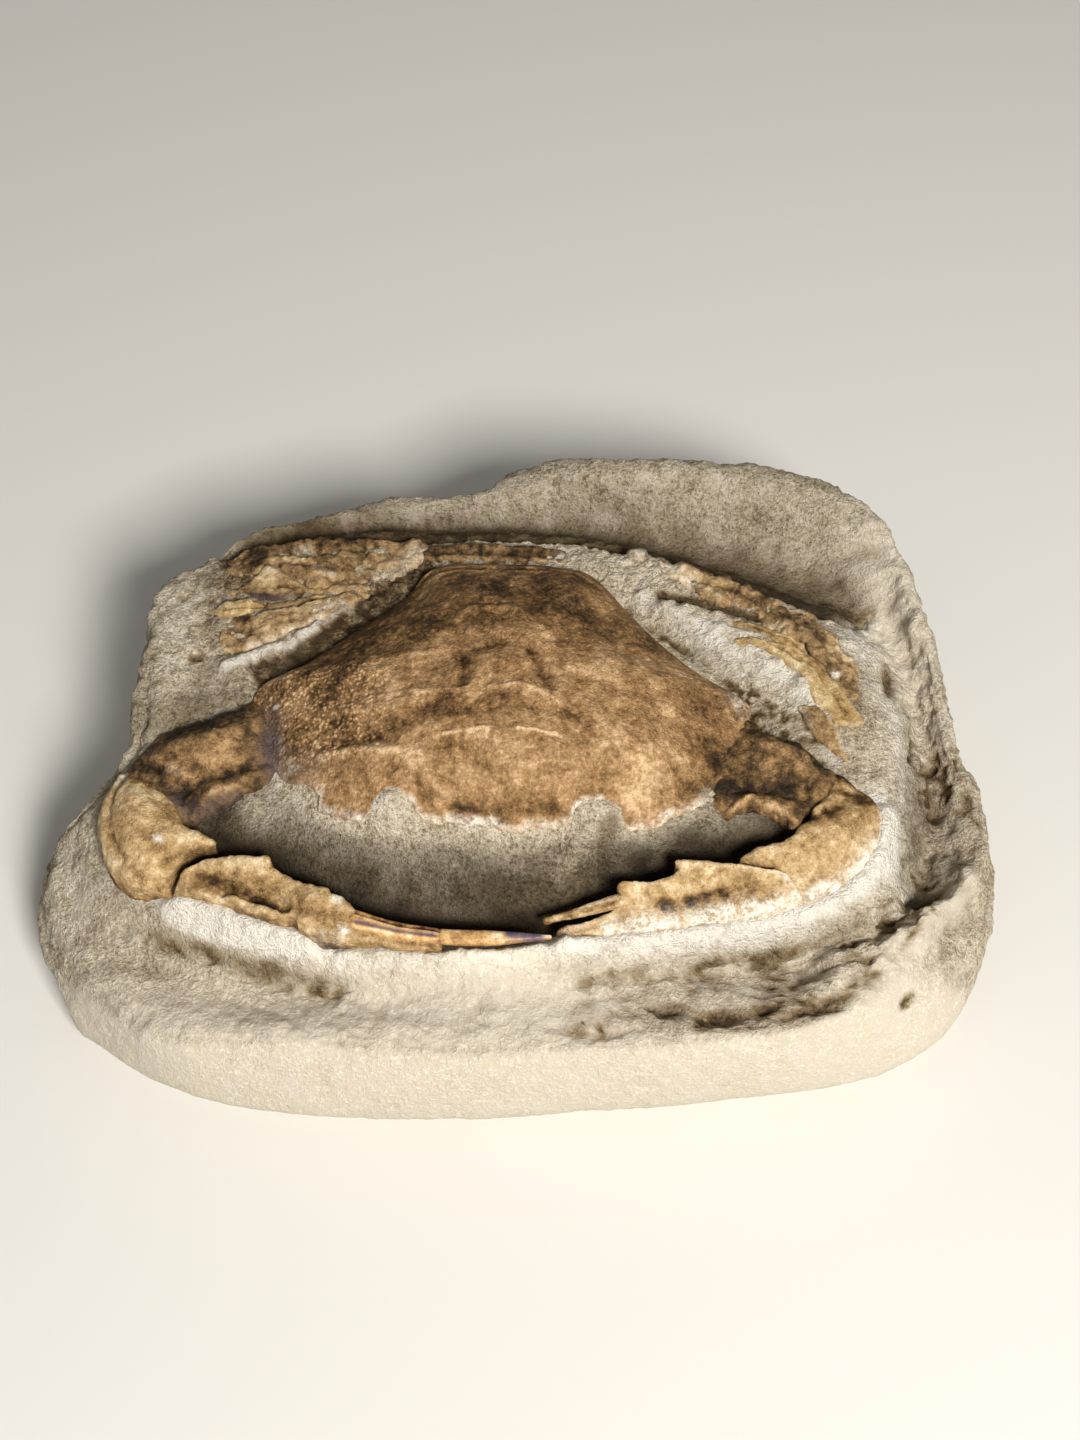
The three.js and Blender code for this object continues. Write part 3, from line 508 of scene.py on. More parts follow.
def shell_material(name, colours, gloss=(0.42, 0.68), relief=1.0, stain=(92, 80, 80)):
    """Fossil shell in five colours, dark to bright, that its tone mask picks from. Residue leaves grey stone on it."""
    m = Nodes(name)
    deep, dark, middle, light, bright = (srgb(*c) for c in colours)
    broad, mid, fine = m.noise(5, 5, 0.65, 0.5), m.noise(1.5, 5, 0.7), m.noise(0.5, 3, 0.7)
    crumbs = m.grains(0.85)
    mottle = m.math("SUBTRACT", m.total((broad, 0.36), (mid, 0.42), (fine, 0.16)), 0.47)
    mottle = m.math("MULTIPLY", mottle, m.fit(m.mask("granular"), 0.3, 1.0, 2.6, 3.2))
    grainy = m.math("MULTIPLY", m.math("SUBTRACT", crumbs, 0.35), m.math("MULTIPLY", m.mask("granular"), 0.4))
    value = m.total((m.mask("tone"), 1.0), (mottle, 1.0), (grainy, 1.0))
    base = m.ramp(value, (0.04, deep), (0.25, dark), (0.5, middle), (0.74, light), (0.97, bright))
    base = m.mix(m.fit(m.noise(0.4, 2, 0.6), 0.58, 0.68, 0.0, 0.4), base, deep)
    glints = m.math("MULTIPLY", m.fit(m.noise(0.46, 2, 0.6), 0.6, 0.7), m.fit(m.mask("tone"), 0.1, 0.6, 0.05, 0.38))
    base = m.mix(glints, base, bright)
    left = m.math("MULTIPLY", m.mask("residue"), m.fit(mid, 0.38, 0.58, 0.3, 1.0), clamp=True)
    base = m.mix(left, base, m.mix(m.fit(fine, 0.3, 0.55), BEIGE, CHALK))
    base = m.mix(m.math("MULTIPLY", m.mask("violet"), m.fit(mid, 0.35, 0.6, 0.5, 1.0)), base, srgb(*stain))
    height = m.total((m.noise(0.9, 4, 0.7), 0.6), (m.noise(0.28, 2, 0.6), 0.35),
                     (m.math("MULTIPLY", crumbs, m.mask("granular")), 0.2))
    m.shader.inputs["Specular IOR Level"].default_value = SHELL_GLOSS
    return m.finish(base, m.fit(mid, 0.3, 0.7, *gloss), m.bump(height, relief))


# ---------------------------------------------------------------- the slab

# How rough each zone of the slab is: (lumps of 14 mm, crumbs of 4 mm, grit of 1.5 mm)
ROUGHNESS = {
    "base": (0.4, 0.34, 0.36), "wall": (0, 0.22, 0.16), "broken": (0.8, 0.34, 0.26),
    "front_skirt": (0.25, 0.14, 0.12), "moat": (0, 0.4, 0.12), "plateau": (0, 0.3, 0.2),
    "back_slope": (0, -0.16, 0), "worked": (0, 0.24, 0.14), "smooth": (0, -0.1, -0.12),
    "speckled": (0, 0, 0.4), "shaded": (0, 0, 0.3),
}
EYE_RISE = 2.8  # height of the lumps of stone under the eyes
# Lines and outlines (x, y) on the slab. Left and right are as seen with the claws towards the viewer.
LEFT_BANK = [(-66, -35.6), (-60, -36.6), (-53.5, -38.8), (-46, -41.2), (-40, -42.6)]
FINGER_BANK = [(-33, -45.8), (-24, -45.6), (-14, -46.6), (-3, -46.4), (4, -45.4), (9, -44.4)]
RIGHT_BANK = [(10, -44.2), (24, -42.6), (36, -41), (48, -39.4), (56, -37.2), (62, -34.8), (67, -31), (70.6, -25.6),
              (71.6, -19)]
PIT_FOOT = [(-62, -24), (-56, -26.4), (-47, -29.6), (-42, -33.6), (-36, -35.4), (-26, -39), (-10, -40.8), (4, -40),
            (14, -36.6), (20, -33), (30, -30.2), (42, -28.6), (53, -24)]
STREAK_A = [(21, -45.6), (30, -44.4), (39, -43.6), (48, -42.8), (57, -41), (66, -38.6), (73, -36)]
STREAK_B = [(53, -49), (56, -46.8), (60, -46), (66, -44.6)]
STREAK_C = [(26, -54.4), (31, -55.8), (37, -56.8), (43.6, -57.6), (49, -57.2), (54, -55.6), (61, -53.6)]
STREAK_D = [(6, -58.4), (14.4, -60), (22, -59.4)]
BASIN = [(-76, -37.4), (-71.6, -39), (-66.4, -40.9), (-60, -42.7), (-53.4, -45), (-48.1, -47), (-42, -48.6),
         (-34, -49.9)]
MARKS = [(14, -47), (24, -45.4), (36, -44.4), (50, -43.4), (60, -41), (70, -37.6), (77, -36), (74, -43), (68, -48),
         (61, -53.6), (54, -57.4), (44, -59.4), (34, -58.8), (24, -57), (12, -58)]
LEFT_MARKS = [(-84, -30), (-76, -37), (-66, -42), (-52, -46.4), (-36, -51), (-14, -52), (-6, -56), (-16, -60),
              (-36, -59), (-56, -57), (-72, -50), (-84, -40)]
LEFT_RIDGE = [(-58.6, 11.4), (-55, 13.6), (-50.6, 16), (-46.3, 17.2), (-42.4, 19.9), (-38, 22.8), (-33.6, 26.8),
              (-31.4, 28.6)]
RIGHT_RIDGE = [(26, 27.5), (34, 22.6), (42, 18), (49.2, 13.6), (53, 11.8), (55.6, 8.6), (57.6, 4), (60.4, 0.6)]
RIGHT_VALLEY = [(22, 26), (24.8, 22.7), (31.3, 17.5), (37.2, 13.1), (44, 7), (45.6, 1.9), (49, -3.4), (54, -6),
                (60, -8.6)]
RIGHT_CRACK = [(29, 28.2), (34, 27.2), (38.2, 26.4), (42.2, 25), (46.2, 23.6), (51.8, 22.8)]
PALE_LEG = [(37, 21.4), (41, 20.2), (45, 18.8), (48.6, 18.2)]
LEFT_SHADE = [(-53, 12.4), (-49.6, 13.6), (-45.9, 15.6), (-41.9, 18.2), (-37.3, 21.6), (-33.4, 25.6), (-31, 28.6),
              (-27, 31), (-22, 36), (-19.6, 38.4), (-18, 36), (-23, 28), (-33.8, 19), (-43.5, 12.6), (-51, 9)]
RIGHT_PALE = [(36.8, 19.8), (44.8, 13.9), (51.4, 10.9), (56.4, 7.2), (60, 1.6)]
SPECKLED = [(43.4, 7.1), (46.7, 4.8), (51.0, 2.2), (55.7, -0.3), (58.5, -3.4), (53.6, -2.7), (48.6, -1.9),
            (44.9, 1.1)]
LEFT_WHITE = [(-66, -36.2), (-61.5, -38.2), (-54.8, -40.3), (-46.2, -42.4), (-39.8, -43.4), (-33.5, -44.4)]
CLAW_GAP = [(-66.4, -34.4), (-64.6, -31.6), (-62, -29.4), (-58.4, -28.2), (-53, -28.4)]
BACK_STEP = [(-62, 41.4), (-50, 43.6), (-36, 44.6), (-18, 43.2), (4, 42.8), (14, 42.2), (22, 41.2), (30, 39.0),
             (38.6, 36.0), (45.7, 33.2), (52, 30.8), (58, 28.4), (63, 27.2), (69, 28.6), (73, 32)]
LEFT_FAN = [(-62, 25), (-61, 34), (-60, 40), (-52, 44), (-34, 44.4), (-22, 43), (-19.4, 39), (-27, 32), (-33, 29.6),
            (-37, 25.4), (-42, 21), (-48, 18.4), (-54, 15.8), (-59.4, 15.2)]
RIGHT_FAN = [(44, 25), (50, 23.6), (60, 25), (64, 20), (68.4, 12), (67.6, 1), (66, -10), (64, -9), (63, -1),
             (59, 3), (57.6, 9), (52, 14.6), (44, 17)]
BACK_TIP = [(57, 28.6), (63, 30.4), (69, 33), (74, 34.8)]
WALL_RIDGE = [(14.4, -25), (12.4, -27), (10.6, -29.4), (8.4, -32.4)]
WALL_CREASE = [(18.4, -25), (16.6, -26.6), (16, -28.4), (16.4, -30.6)]
WALL_LOBE = [(26.7, -26.4), (30.3, -23.4), (34.6, -21.6), (38.3, -22)]
TROUGH = [(61, -43.8), (66, -40.6), (71, -37.4), (75, -34.6)]
WALL_SHADE = [(17.6, -28.6), (24, -28), (30, -26.4), (38, -24.6)]
FINGER_CREST = [(-12, -45.4), (-5, -45.9), (4, -44.6)]
EYE_DOMES = [(-24, -22.6, 3.6, 2.8), (15.2, -24.6, 4.6, 2.4)]


def stone_rows(angles):
    """The slab as a grid of rows round the crown, from under the shell out to the sole, and each row's place."""
    edge = ring(DOME_EDGE, angles)
    edge[:, 2] -= CORE_DROP
    knots = np.stack([edge] + [ring(r, angles) for r in (LEDGE, PLINTH, MOAT, CREST, BROW, SKIRT, SOLE)])
    outside = catmull(knots, STONE_SPANS)
    spot = np.concatenate([np.arange(n) / n + i for i, n in enumerate(STONE_SPANS)] + [[len(STONE_SPANS)]])
    shares = np.append([0.5, 0.7, 0.8], np.linspace(0.86, 1, 10)[:-1])
    centre = np.array([*CENTRE, 0.0])
    inside = centre + (edge - centre) * shares[:, None, None]
    inside[..., 2] = dome(inside) - CORE_DROP
    return np.concatenate([inside, outside]), np.concatenate([shares - 1, spot])


def stone_zones(p, row):
    """How far each point is in each zone of the slab, from 0 to 1. row counts the rings outward: below 0 under the
    shell, 0 at its edge, 1 LEDGE, 2 PLINTH, 3 MOAT, 4 CREST, 5 BROW, 6 SKIRT and 7 SOLE."""
    x, y = p[:, 0], p[:, 1]
    z = SimpleNamespace(x=x, y=y, row=row, top=step(row, 5.4, 4.5))
    skirt = step(row, 4.2, 5.2)
    z.front_skirt = skirt * step(y, -36, -50)  # cut flat
    z.broken = skirt * (1 - z.front_skirt)  # left as it broke
    z.wall = step(row, 0.0, 0.25) * step(row, 1.35, 1.05) * step(y, -6, -18)  # of the pit under the shell's front
    z.face = step(row, -0.25, -0.05) * step(row, 1.35, 1.05)
    z.base = z.top * (1 - z.wall)
    z.back_slope = step(row, 2.2, 3.2) * step(y, 36, 46) * z.top
    z.plateau = step(row, 0.25, 0.6) * step(row, 2.35, 1.9) * step(y, 2, 9)
    z.moat = step(row, 1.9, 2.5) * step(row, 4.6, 4.0) * step(x, 58, 70)
    z.past_step = step(row, 1.55, 1.8)
    z.marks, z.left_marks = patch(p, MARKS, 2.5) * z.top, patch(p, LEFT_MARKS, 4) * z.top
    z.worked = z.marks * z.top
    z.smooth = step(y, -44, -52) * (1 - z.marks) * z.top
    z.speckled, z.shaded = patch(p, SPECKLED, 2.0), patch(p, LEFT_SHADE, 1.5)
    z.filled = np.maximum(stroke(p, TROUGH, 4.5), 0.9 * blob(p, 85.5, -26, 4, 7))  # smooth, with no pits
    z.scored = rough(turned(p, 16), (7, 1.6, 5), 65, 4, 0.6)  # the tool's grain, to the right and to the left
    z.scored_left = rough(turned(p, -30), (6, 1.5, 5), 69, 4, 0.6)
    return z


def stone_grain(p, z):
    """Height of the slab's lumps, chips, pits, recesses and splits. z keeps what the colours need of them."""
    x, y = z.x, z.y
    z.crumbs, grit = rough(p, 4.2, 21, 4), rough(p, 1.5, 31, 3)
    big, mid, fine = (sum(share[k] * getattr(z, zone) for zone, share in ROUGHNESS.items()) for k in range(3))
    z.texture = mid * z.crumbs + fine * grit
    chips = np.maximum(0, noise(p, (7, 3.4, 4), 41) - 0.3) * 1.1 * (z.back_slope + z.moat + z.broken)
    pit, mark = cells(p, 4.2, 51)
    z.pits = np.where(mark > 0.62, np.maximum(0, 1 - (pit / 0.24) ** 2), 0)
    z.pits = z.pits * (0.25 * z.base + 0.7 * z.moat + 0.3 * z.broken)
    facet, tilt = cells(p * (1, 1, 1.6), 16, 61)
    flakes = 1.5 * (tilt - 0.5) * step(facet, 0.6, 0.25) * z.broken
    h = big * rough(p, 14, 11, 3) + z.texture - chips - z.pits + flakes
    recess = step(rough(p, (11, 5.5, 8), 77, 4), 0.16, 0.5) * (
        0.9 * z.moat + 0.8 * z.broken * step(x, 60, 75) + 0.55 * step(x, -60, -76) * z.base + 0.35 * z.broken)
    split = np.maximum(0, creases(p * (1, 1.5, 1.3), 3.4, 45, 4) - 0.2) * step(rough(p, 5, 47, 2), -0.15, 0.35)
    split = split * np.clip(
        step(y, 14, 4) * z.moat + 0.5 * z.marks + 0.3 * z.broken * step(x, 60, 75) * step(y, 40, 20)
        + 0.9 * blob(p, -67, 18, 8, 22) * z.top, 0, 1)
    z.recess, z.split = recess * (1 - z.filled), split * (1 - z.filled)
    return (h - 0.7 * z.recess - 1.3 * z.split) * step(z.row, -0.03, 0.02)


def stone_carving(p, z):
    """How far the grooves round the claws, the banks under them and the ridges beside the shell raise the top."""
    down = layers(
        p, (1.3, lee, STREAK_A, 1.2, 2.6), (0.8, stroke, STREAK_B, 1.7), (1.6, lee, STREAK_C, 2.4, 1.6),
        (0.7, stroke, STREAK_D, 1.6), (2.2, lee, BASIN, 3.2, 1.6)) * (1 + 0.5 * z.scored)
    down = down + 0.5 * z.marks * z.scored + 0.4 * z.left_marks * z.scored_left + layers(
        p, (2.2, blob, 80.6, -29.6, 2.2, 1.1, 30), (3.0, blob, 75.8, 14, 1.8, 4.4, -6), (1.6, blob, 84, -10, 5, 2.2),
        (1.2, blob, 80.5, -20, 2.4, 5), (2.3, blob, 74.5, -50.5, 2.0, 0.8, 42), (1.8, blob, 46.4, -54.6, 1.3, 0.8),
        (2.4 * z.past_step, lee, BACK_STEP, 2.4, 0.9), (1.4 - 0.8 * step(z.x, -38, -24), patch, LEFT_SHADE, 1.7),
        (0.9, stroke, RIGHT_VALLEY, 1.0), (1.4, stroke, RIGHT_CRACK, 0.8), (1.2, stroke, CLAW_GAP, 1.2),
        (2.0 * z.wall, stroke, PIT_FOOT, 2.0))
    up = 0.3 * z.plateau * step(z.y, 12, 18) + layers(
        p, (3.2, stroke, LEFT_BANK, 2.4), (2.2, stroke, FINGER_BANK, 2.0), (3.4, stroke, RIGHT_BANK, 2.6),
        (1.4 + 1.26 * rough(p, 2.4, 63, 3), stroke, LEFT_RIDGE, 1.2),
        (1.0 + 0.9 * rough(p, 3.4, 67, 3), stroke, RIGHT_RIDGE, 2.2), (0.9, stroke, PALE_LEG, 1.0),
        (6.0, stroke, TROUGH, 4.0), (2.2, blob, 85.5, -26, 4, 6), (1.0, stroke, FINGER_CREST, 1.5),
        (2.0 * z.face, stroke, WALL_RIDGE, 2.2), (-2.2 * z.face, stroke, WALL_CREASE, 1.3),
        (1.4 * z.face, stroke, WALL_LOBE, 1.8))
    return (up - down) * z.top * step(z.row, -0.04, 0.02)


def cut_stone_and_highlights(p, z):
    """Where the stone is pale and clean: the front, the rims and the corner plane; with painted highlights on the right
    flank, along the rims of the flanks and on the lumps under the eyes.
    """
    y, top = z.y, z.top
    cut_and_highlight = 0.75 * step(y, -42, -58) * top * (1 - 0.6 * stroke(p, STREAK_C, 5))
    cut_and_highlight = cut_and_highlight + 0.5 * step(z.row, 1.2, 2) * top * blob(p, -4, -50, 26, 9)
    cut_and_highlight = np.maximum(cut_and_highlight, step(z.x - 0.9 * y, 105, 115) * step(y, -24, -32) * top)
    cut_and_highlight = np.maximum(cut_and_highlight, 0.95 * z.front_skirt)
    # painted highlights on the lumps under the eyes and on the right flank
    cut_and_highlight = cut_and_highlight + 0.7 * z.eyes * z.wall + top * layers(
        p, (-0.1, blob, -74, -46, 26, 12), (0.8, blob, 79, 32, 10, 30), (0.3, blob, -69, 27, 8, 13),
        (0.25, blob, -84, -28, 14, 18), (0.4, blob, 52, -47, 30, 9), (0.4, blob, 80, -32, 8, 9),
        (0.4, blob, -50, -48, 36, 9))
    # painted highlights along the rims of the flanks
    rim_highlights = layers(p, (1, blob, 88, -5, 9, 30), (1, blob, -84, -20, 14, 24), (0.6, blob, 60, -48, 20, 8))
    return cut_and_highlight + 0.5 * step(rough(p, 7, 83, 3), 0.1, 0.6) * top * rim_highlights + 0.15 * rough(p, 6, 81, 3)


def earth_and_shade_marks(p, z):
    """Brown earth in the grooves, and painted shade in the hollows, the cracks, the gaps by the claws, at the foot of
    the pit wall and at the step behind the shell.
    """
    x, y, row = z.x, z.y, z.row
    soil_and_shade = 0.27 * z.marks * step(z.scored, -0.3, 0.5) + layers(
        p, (0.54 * step(x, 14, 44), lee, STREAK_A, 0.7, 3.2), (0.35, stroke, STREAK_B, 1.8),
        (0.72, lee, STREAK_C, 2.6, 1.2), (0.35, stroke, STREAK_D, 1.3))
    soil_and_shade = soil_and_shade * (0.8 + 0.5 * z.scored) * (1 - 0.35 * z.filled)
    soil_and_shade = soil_and_shade + 0.08 * z.left_marks * step(z.scored_left, 0, 0.6) + 0.65 * step(z.pits, 0.1, 0.5)
    soil_and_shade = soil_and_shade + 0.25 * z.recess * step(y, 20, 0) + 0.7 * step(z.split, 0.05, 0.4) + 1.6 * z.pocket
    soil_and_shade = soil_and_shade + 0.16 * step(y, 34, 42) * step(row, 1.6, 2.0) * step(row, 3.5, 2.8) * step(x, 60, 30)
    soil_and_shade = soil_and_shade + 0.42 * step(-z.crumbs, 0.3, 0.9) * z.moat * step(y, 12, -4)
    back = (0.68 + 0.3 * step(x, 24, 56)) * step(x, -66, -46) * step(x, 79, 66) * z.past_step
    return soil_and_shade + layers(
        p, (0.8 * step(x, -80, -64) * (0.85 + 0.4 * z.scored_left), lee, BASIN, 2.8, 1.0),
        (0.8 * z.wall, lee, PIT_FOOT, 3.6, 2.0), (0.7, stroke, PIT_FOOT, 1.6), (0.3, blob, 80, -22, 2.6, 7),
        (0.35, blob, 84, -10, 5, 3), (1.2, blob, 80.6, -29.6, 2.2, 1.0, 30),
        ((1.0 - 0.4 * step(x, -38, -24)) * (0.85 + 0.9 * rough(p, 1.7, 89, 3)), patch, LEFT_SHADE, 1.0),
        (0.9 * (0.8 + 0.6 * rough(p, 2, 79, 2)), stroke, RIGHT_VALLEY, 0.8),
        (1.2, blob, 74.3, -50.8, 1.7, 0.6, 42), (0.9, blob, 46.4, -54.6, 1.3, 0.7), (1.6, lee, RIGHT_CRACK, 1.1, 0.7),
        (0.6 * (1 + 1.8 * rough(p, 1.5, 75, 2)), patch, SPECKLED, 2.4), (1.3, stroke, CLAW_GAP, 1.3),
        (back, lee, BACK_STEP, 10.5 + 1.5 * step(x, 10, 45), 0.7), (0.8, stroke, BACK_TIP, 2.2))


def white_chalk(p, z):
    """Where the banks, ridges and crushed legs are white."""
    ridge = 1.1 * step(z.x, -37, -44) * (0.7 + 0.9 * rough(p, 1.8, 87, 3))
    return (1 - z.pocket) * layers(
        p, (2.4, lee, LEFT_WHITE, 4.5, 1.7), (2.4, lee, RIGHT_BANK, 4.0, 1.9), (1.2, blob, 71, -27, 3, 4),
        (0.5, stroke, FINGER_BANK, 2.2), (ridge, stroke, LEFT_RIDGE, 1.0), (0.4, stroke, LEFT_RIDGE, 0.8),
        (0.45, stroke, RIGHT_RIDGE, 1.9), (0.8 * (0.7 + 0.6 * rough(p, 3, 85, 3)), lee, RIGHT_PALE, 1.2, 4),
        (0.9, stroke, PALE_LEG, 0.8), (0.7, blob, 70, 27, 5, 10), (0.6, blob, 62, -6, 2, 3),
        (0.35, blob, 76, -2, 3, 18))


def painted_shade_marks(p, z):
    """Painted shade on the stone: behind the step, in recesses, low on the pit wall, on the flanks and in the valley
    beside the shell.
    """
    x, y, row, top = z.x, z.y, z.row, z.top
    foot = step(y, 28, 38) * step(row, 1.6, 2.0) * top
    east = step(x, 62, 74) * step(y, -4, 8)
    painted_shade = foot * (0.20 + 0.66 * step(row, 4.0, 2.6)) * (1 - east)
    painted_shade = painted_shade + 0.35 * z.recess * step(y, 10, -6) + 0.2 * z.broken * step(x, 60, 20)
    back = step(x, -68, -48) * step(x, 80, 66) * z.past_step
    return painted_shade + layers(
        p, (back, lee, BACK_STEP, 13.0 + 1.5 * step(x, 0, 45), 1.0), (0.4 * top, blob, 87, -17, 8, 11),
        (0.2 * top, blob, -84, -24, 16, 20), (0.4 * top, blob, 81, -14, 4, 14), (1.0 * top, blob, -63, 3, 13, 5.5, 24),
        (0.4, blob, -75, 14, 3, 16), (0.45, blob, 53, -4, 8, 6), (0.6, patch, LEFT_SHADE, 0.9),
        (0.4 * top, blob, 60, 64, 12, 6), (0.2 * z.wall, blob, -35, -26, 14, 6, -20),
        (0.9 * z.face, stroke, WALL_CREASE, 1.3), (0.5 * z.face, stroke, WALL_SHADE, 2.6),
        (0.14 * z.face, blob, 30, -26, 16, 5), (0.4, blob, 36, 14, 9, 5, -40))


def stone_masks(p, z):
    """The masks that the mudstone reads, from 0 to 1 at each point of the finished surface."""
    row, top, wall = z.row, z.top, z.wall
    chalk = white_chalk(p, z)
    clean = 1 - 0.9 * np.clip(chalk, 0, 1)
    # crumb colours; the patch along LEFT_SHADE and the blob on the right rim are painted shade
    stain = 0.42 * z.marks * step(z.scored, -0.7, 0.3) + 0.12 * z.left_marks + layers(
        p, (0.85, patch, LEFT_FAN, 3.4), (0.7, patch, RIGHT_FAN, 1.0), (0.3, blob, -56, 38, 8, 6),
        (0.4 * wall, blob, 9, -31.6, 7, 4), (0.9, patch, LEFT_SHADE, 0.8), (0.42, blob, 81, -12, 6, 18))
    dark_wall = 1 - 0.7 * z.eyes - layers(
        p, (0.8, blob, -49, -18, 7, 5, 35), (0.3, blob, -30, -25, 12, 4), (0.35, stroke, WALL_RIDGE, 2),
        (0.4, stroke, WALL_LOBE, 1.8))
    # the pit's own dark grey stone, made darker towards the claws as painted shade
    slate_and_shade = wall * (0.68 + 0.32 * step(row, 0.1, 0.6) + 0.2 * rough(p, 8, 91, 2)) * dark_wall
    # low: painted shade in the low spots of the grain
    low = np.clip(-z.texture * 1.6, 0, 1)
    soil_and_shade = earth_and_shade_marks(p, z) * (0.85 + 0.4 * rough(p, 3.5, 71, 3)) * (0.35 + 0.65 * top) + 0.34 * low
    # painted shade at the foot of the pit wall, under the claws
    wall_foot = step(row, 0.52, 0.95) * step(row, 1.45, 1.15) * step(z.y, -10, -22)
    masks = {
        "cut_and_highlight": cut_stone_and_highlights(p, z),
        "slate_and_shade": slate_and_shade,
        "soil_and_shade": 1.3 * blob(p, 74.5, -50.6, 1.9, 0.7, 42) + soil_and_shade * clean,
        "chalk": chalk * (0.95 + 0.4 * rough(p, 2.4, 101, 3)),
        "painted_shade": painted_shade_marks(p, z) * (0.9 + 0.3 * rough(p, 6, 103, 3)) + 1.1 * wall_foot,
        "stain": stain * (0.8 + 0.6 * rough(p, 2.6, 107, 3)) * clean * top,
    }
    return {key: np.clip(values, 0, 1) for key, values in masks.items()}


def build_stone():
    """The whole slab, from the core under the shell to the flat sole."""
    angles = np.linspace(-math.pi, math.pi, STONE_COLUMNS, endpoint=False)
    g, spot = stone_rows(angles)
    n = grid_normals(g).reshape(-1, 3)
    n = n if n[STONE_COLUMNS * 20, 2] > 0 else -n
    p = g.reshape(-1, 3)
    row = np.repeat(spot, STONE_COLUMNS)
    z = stone_zones(p, row)
    grain, carving = stone_grain(p, z), stone_carving(p, z)
    p = p + n * grain[:, None]
    z.eyes = sum(blob(p, *knob) for knob in EYE_DOMES)
    z.pocket = blob(p, 75.8, 14, 1.7, 4.6, -6)
    p[:, 2] += carving + EYE_RISE * z.eyes * step(row, -0.3, -0.12)
    p[:, 2] = np.where(row > len(STONE_SPANS) - 0.02, 0.0, np.maximum(p[:, 2], 0.0))
    stone = make_mesh("slab", p, grid_faces(len(g), STONE_COLUMNS), stone_masks(p, z))
    close_ends(stone, len(g), STONE_COLUMNS)
    return stone


# ---------------------------------------------------------------- the carapace

# Rows past the margin, over its rounded edge and back under it: (outward, down)
LIP_ROWS = ((0.22, 0.22), (0.30, 0.6), (0.2, 1.2), (-0.1, LIP), (-3.0, LIP + 0.5))
SHELL_DOTS = [(-46.2, -6.2), (-45.6, -8.4), (-47.4, 1.2)]  # crumbs of pale stone by the left margin
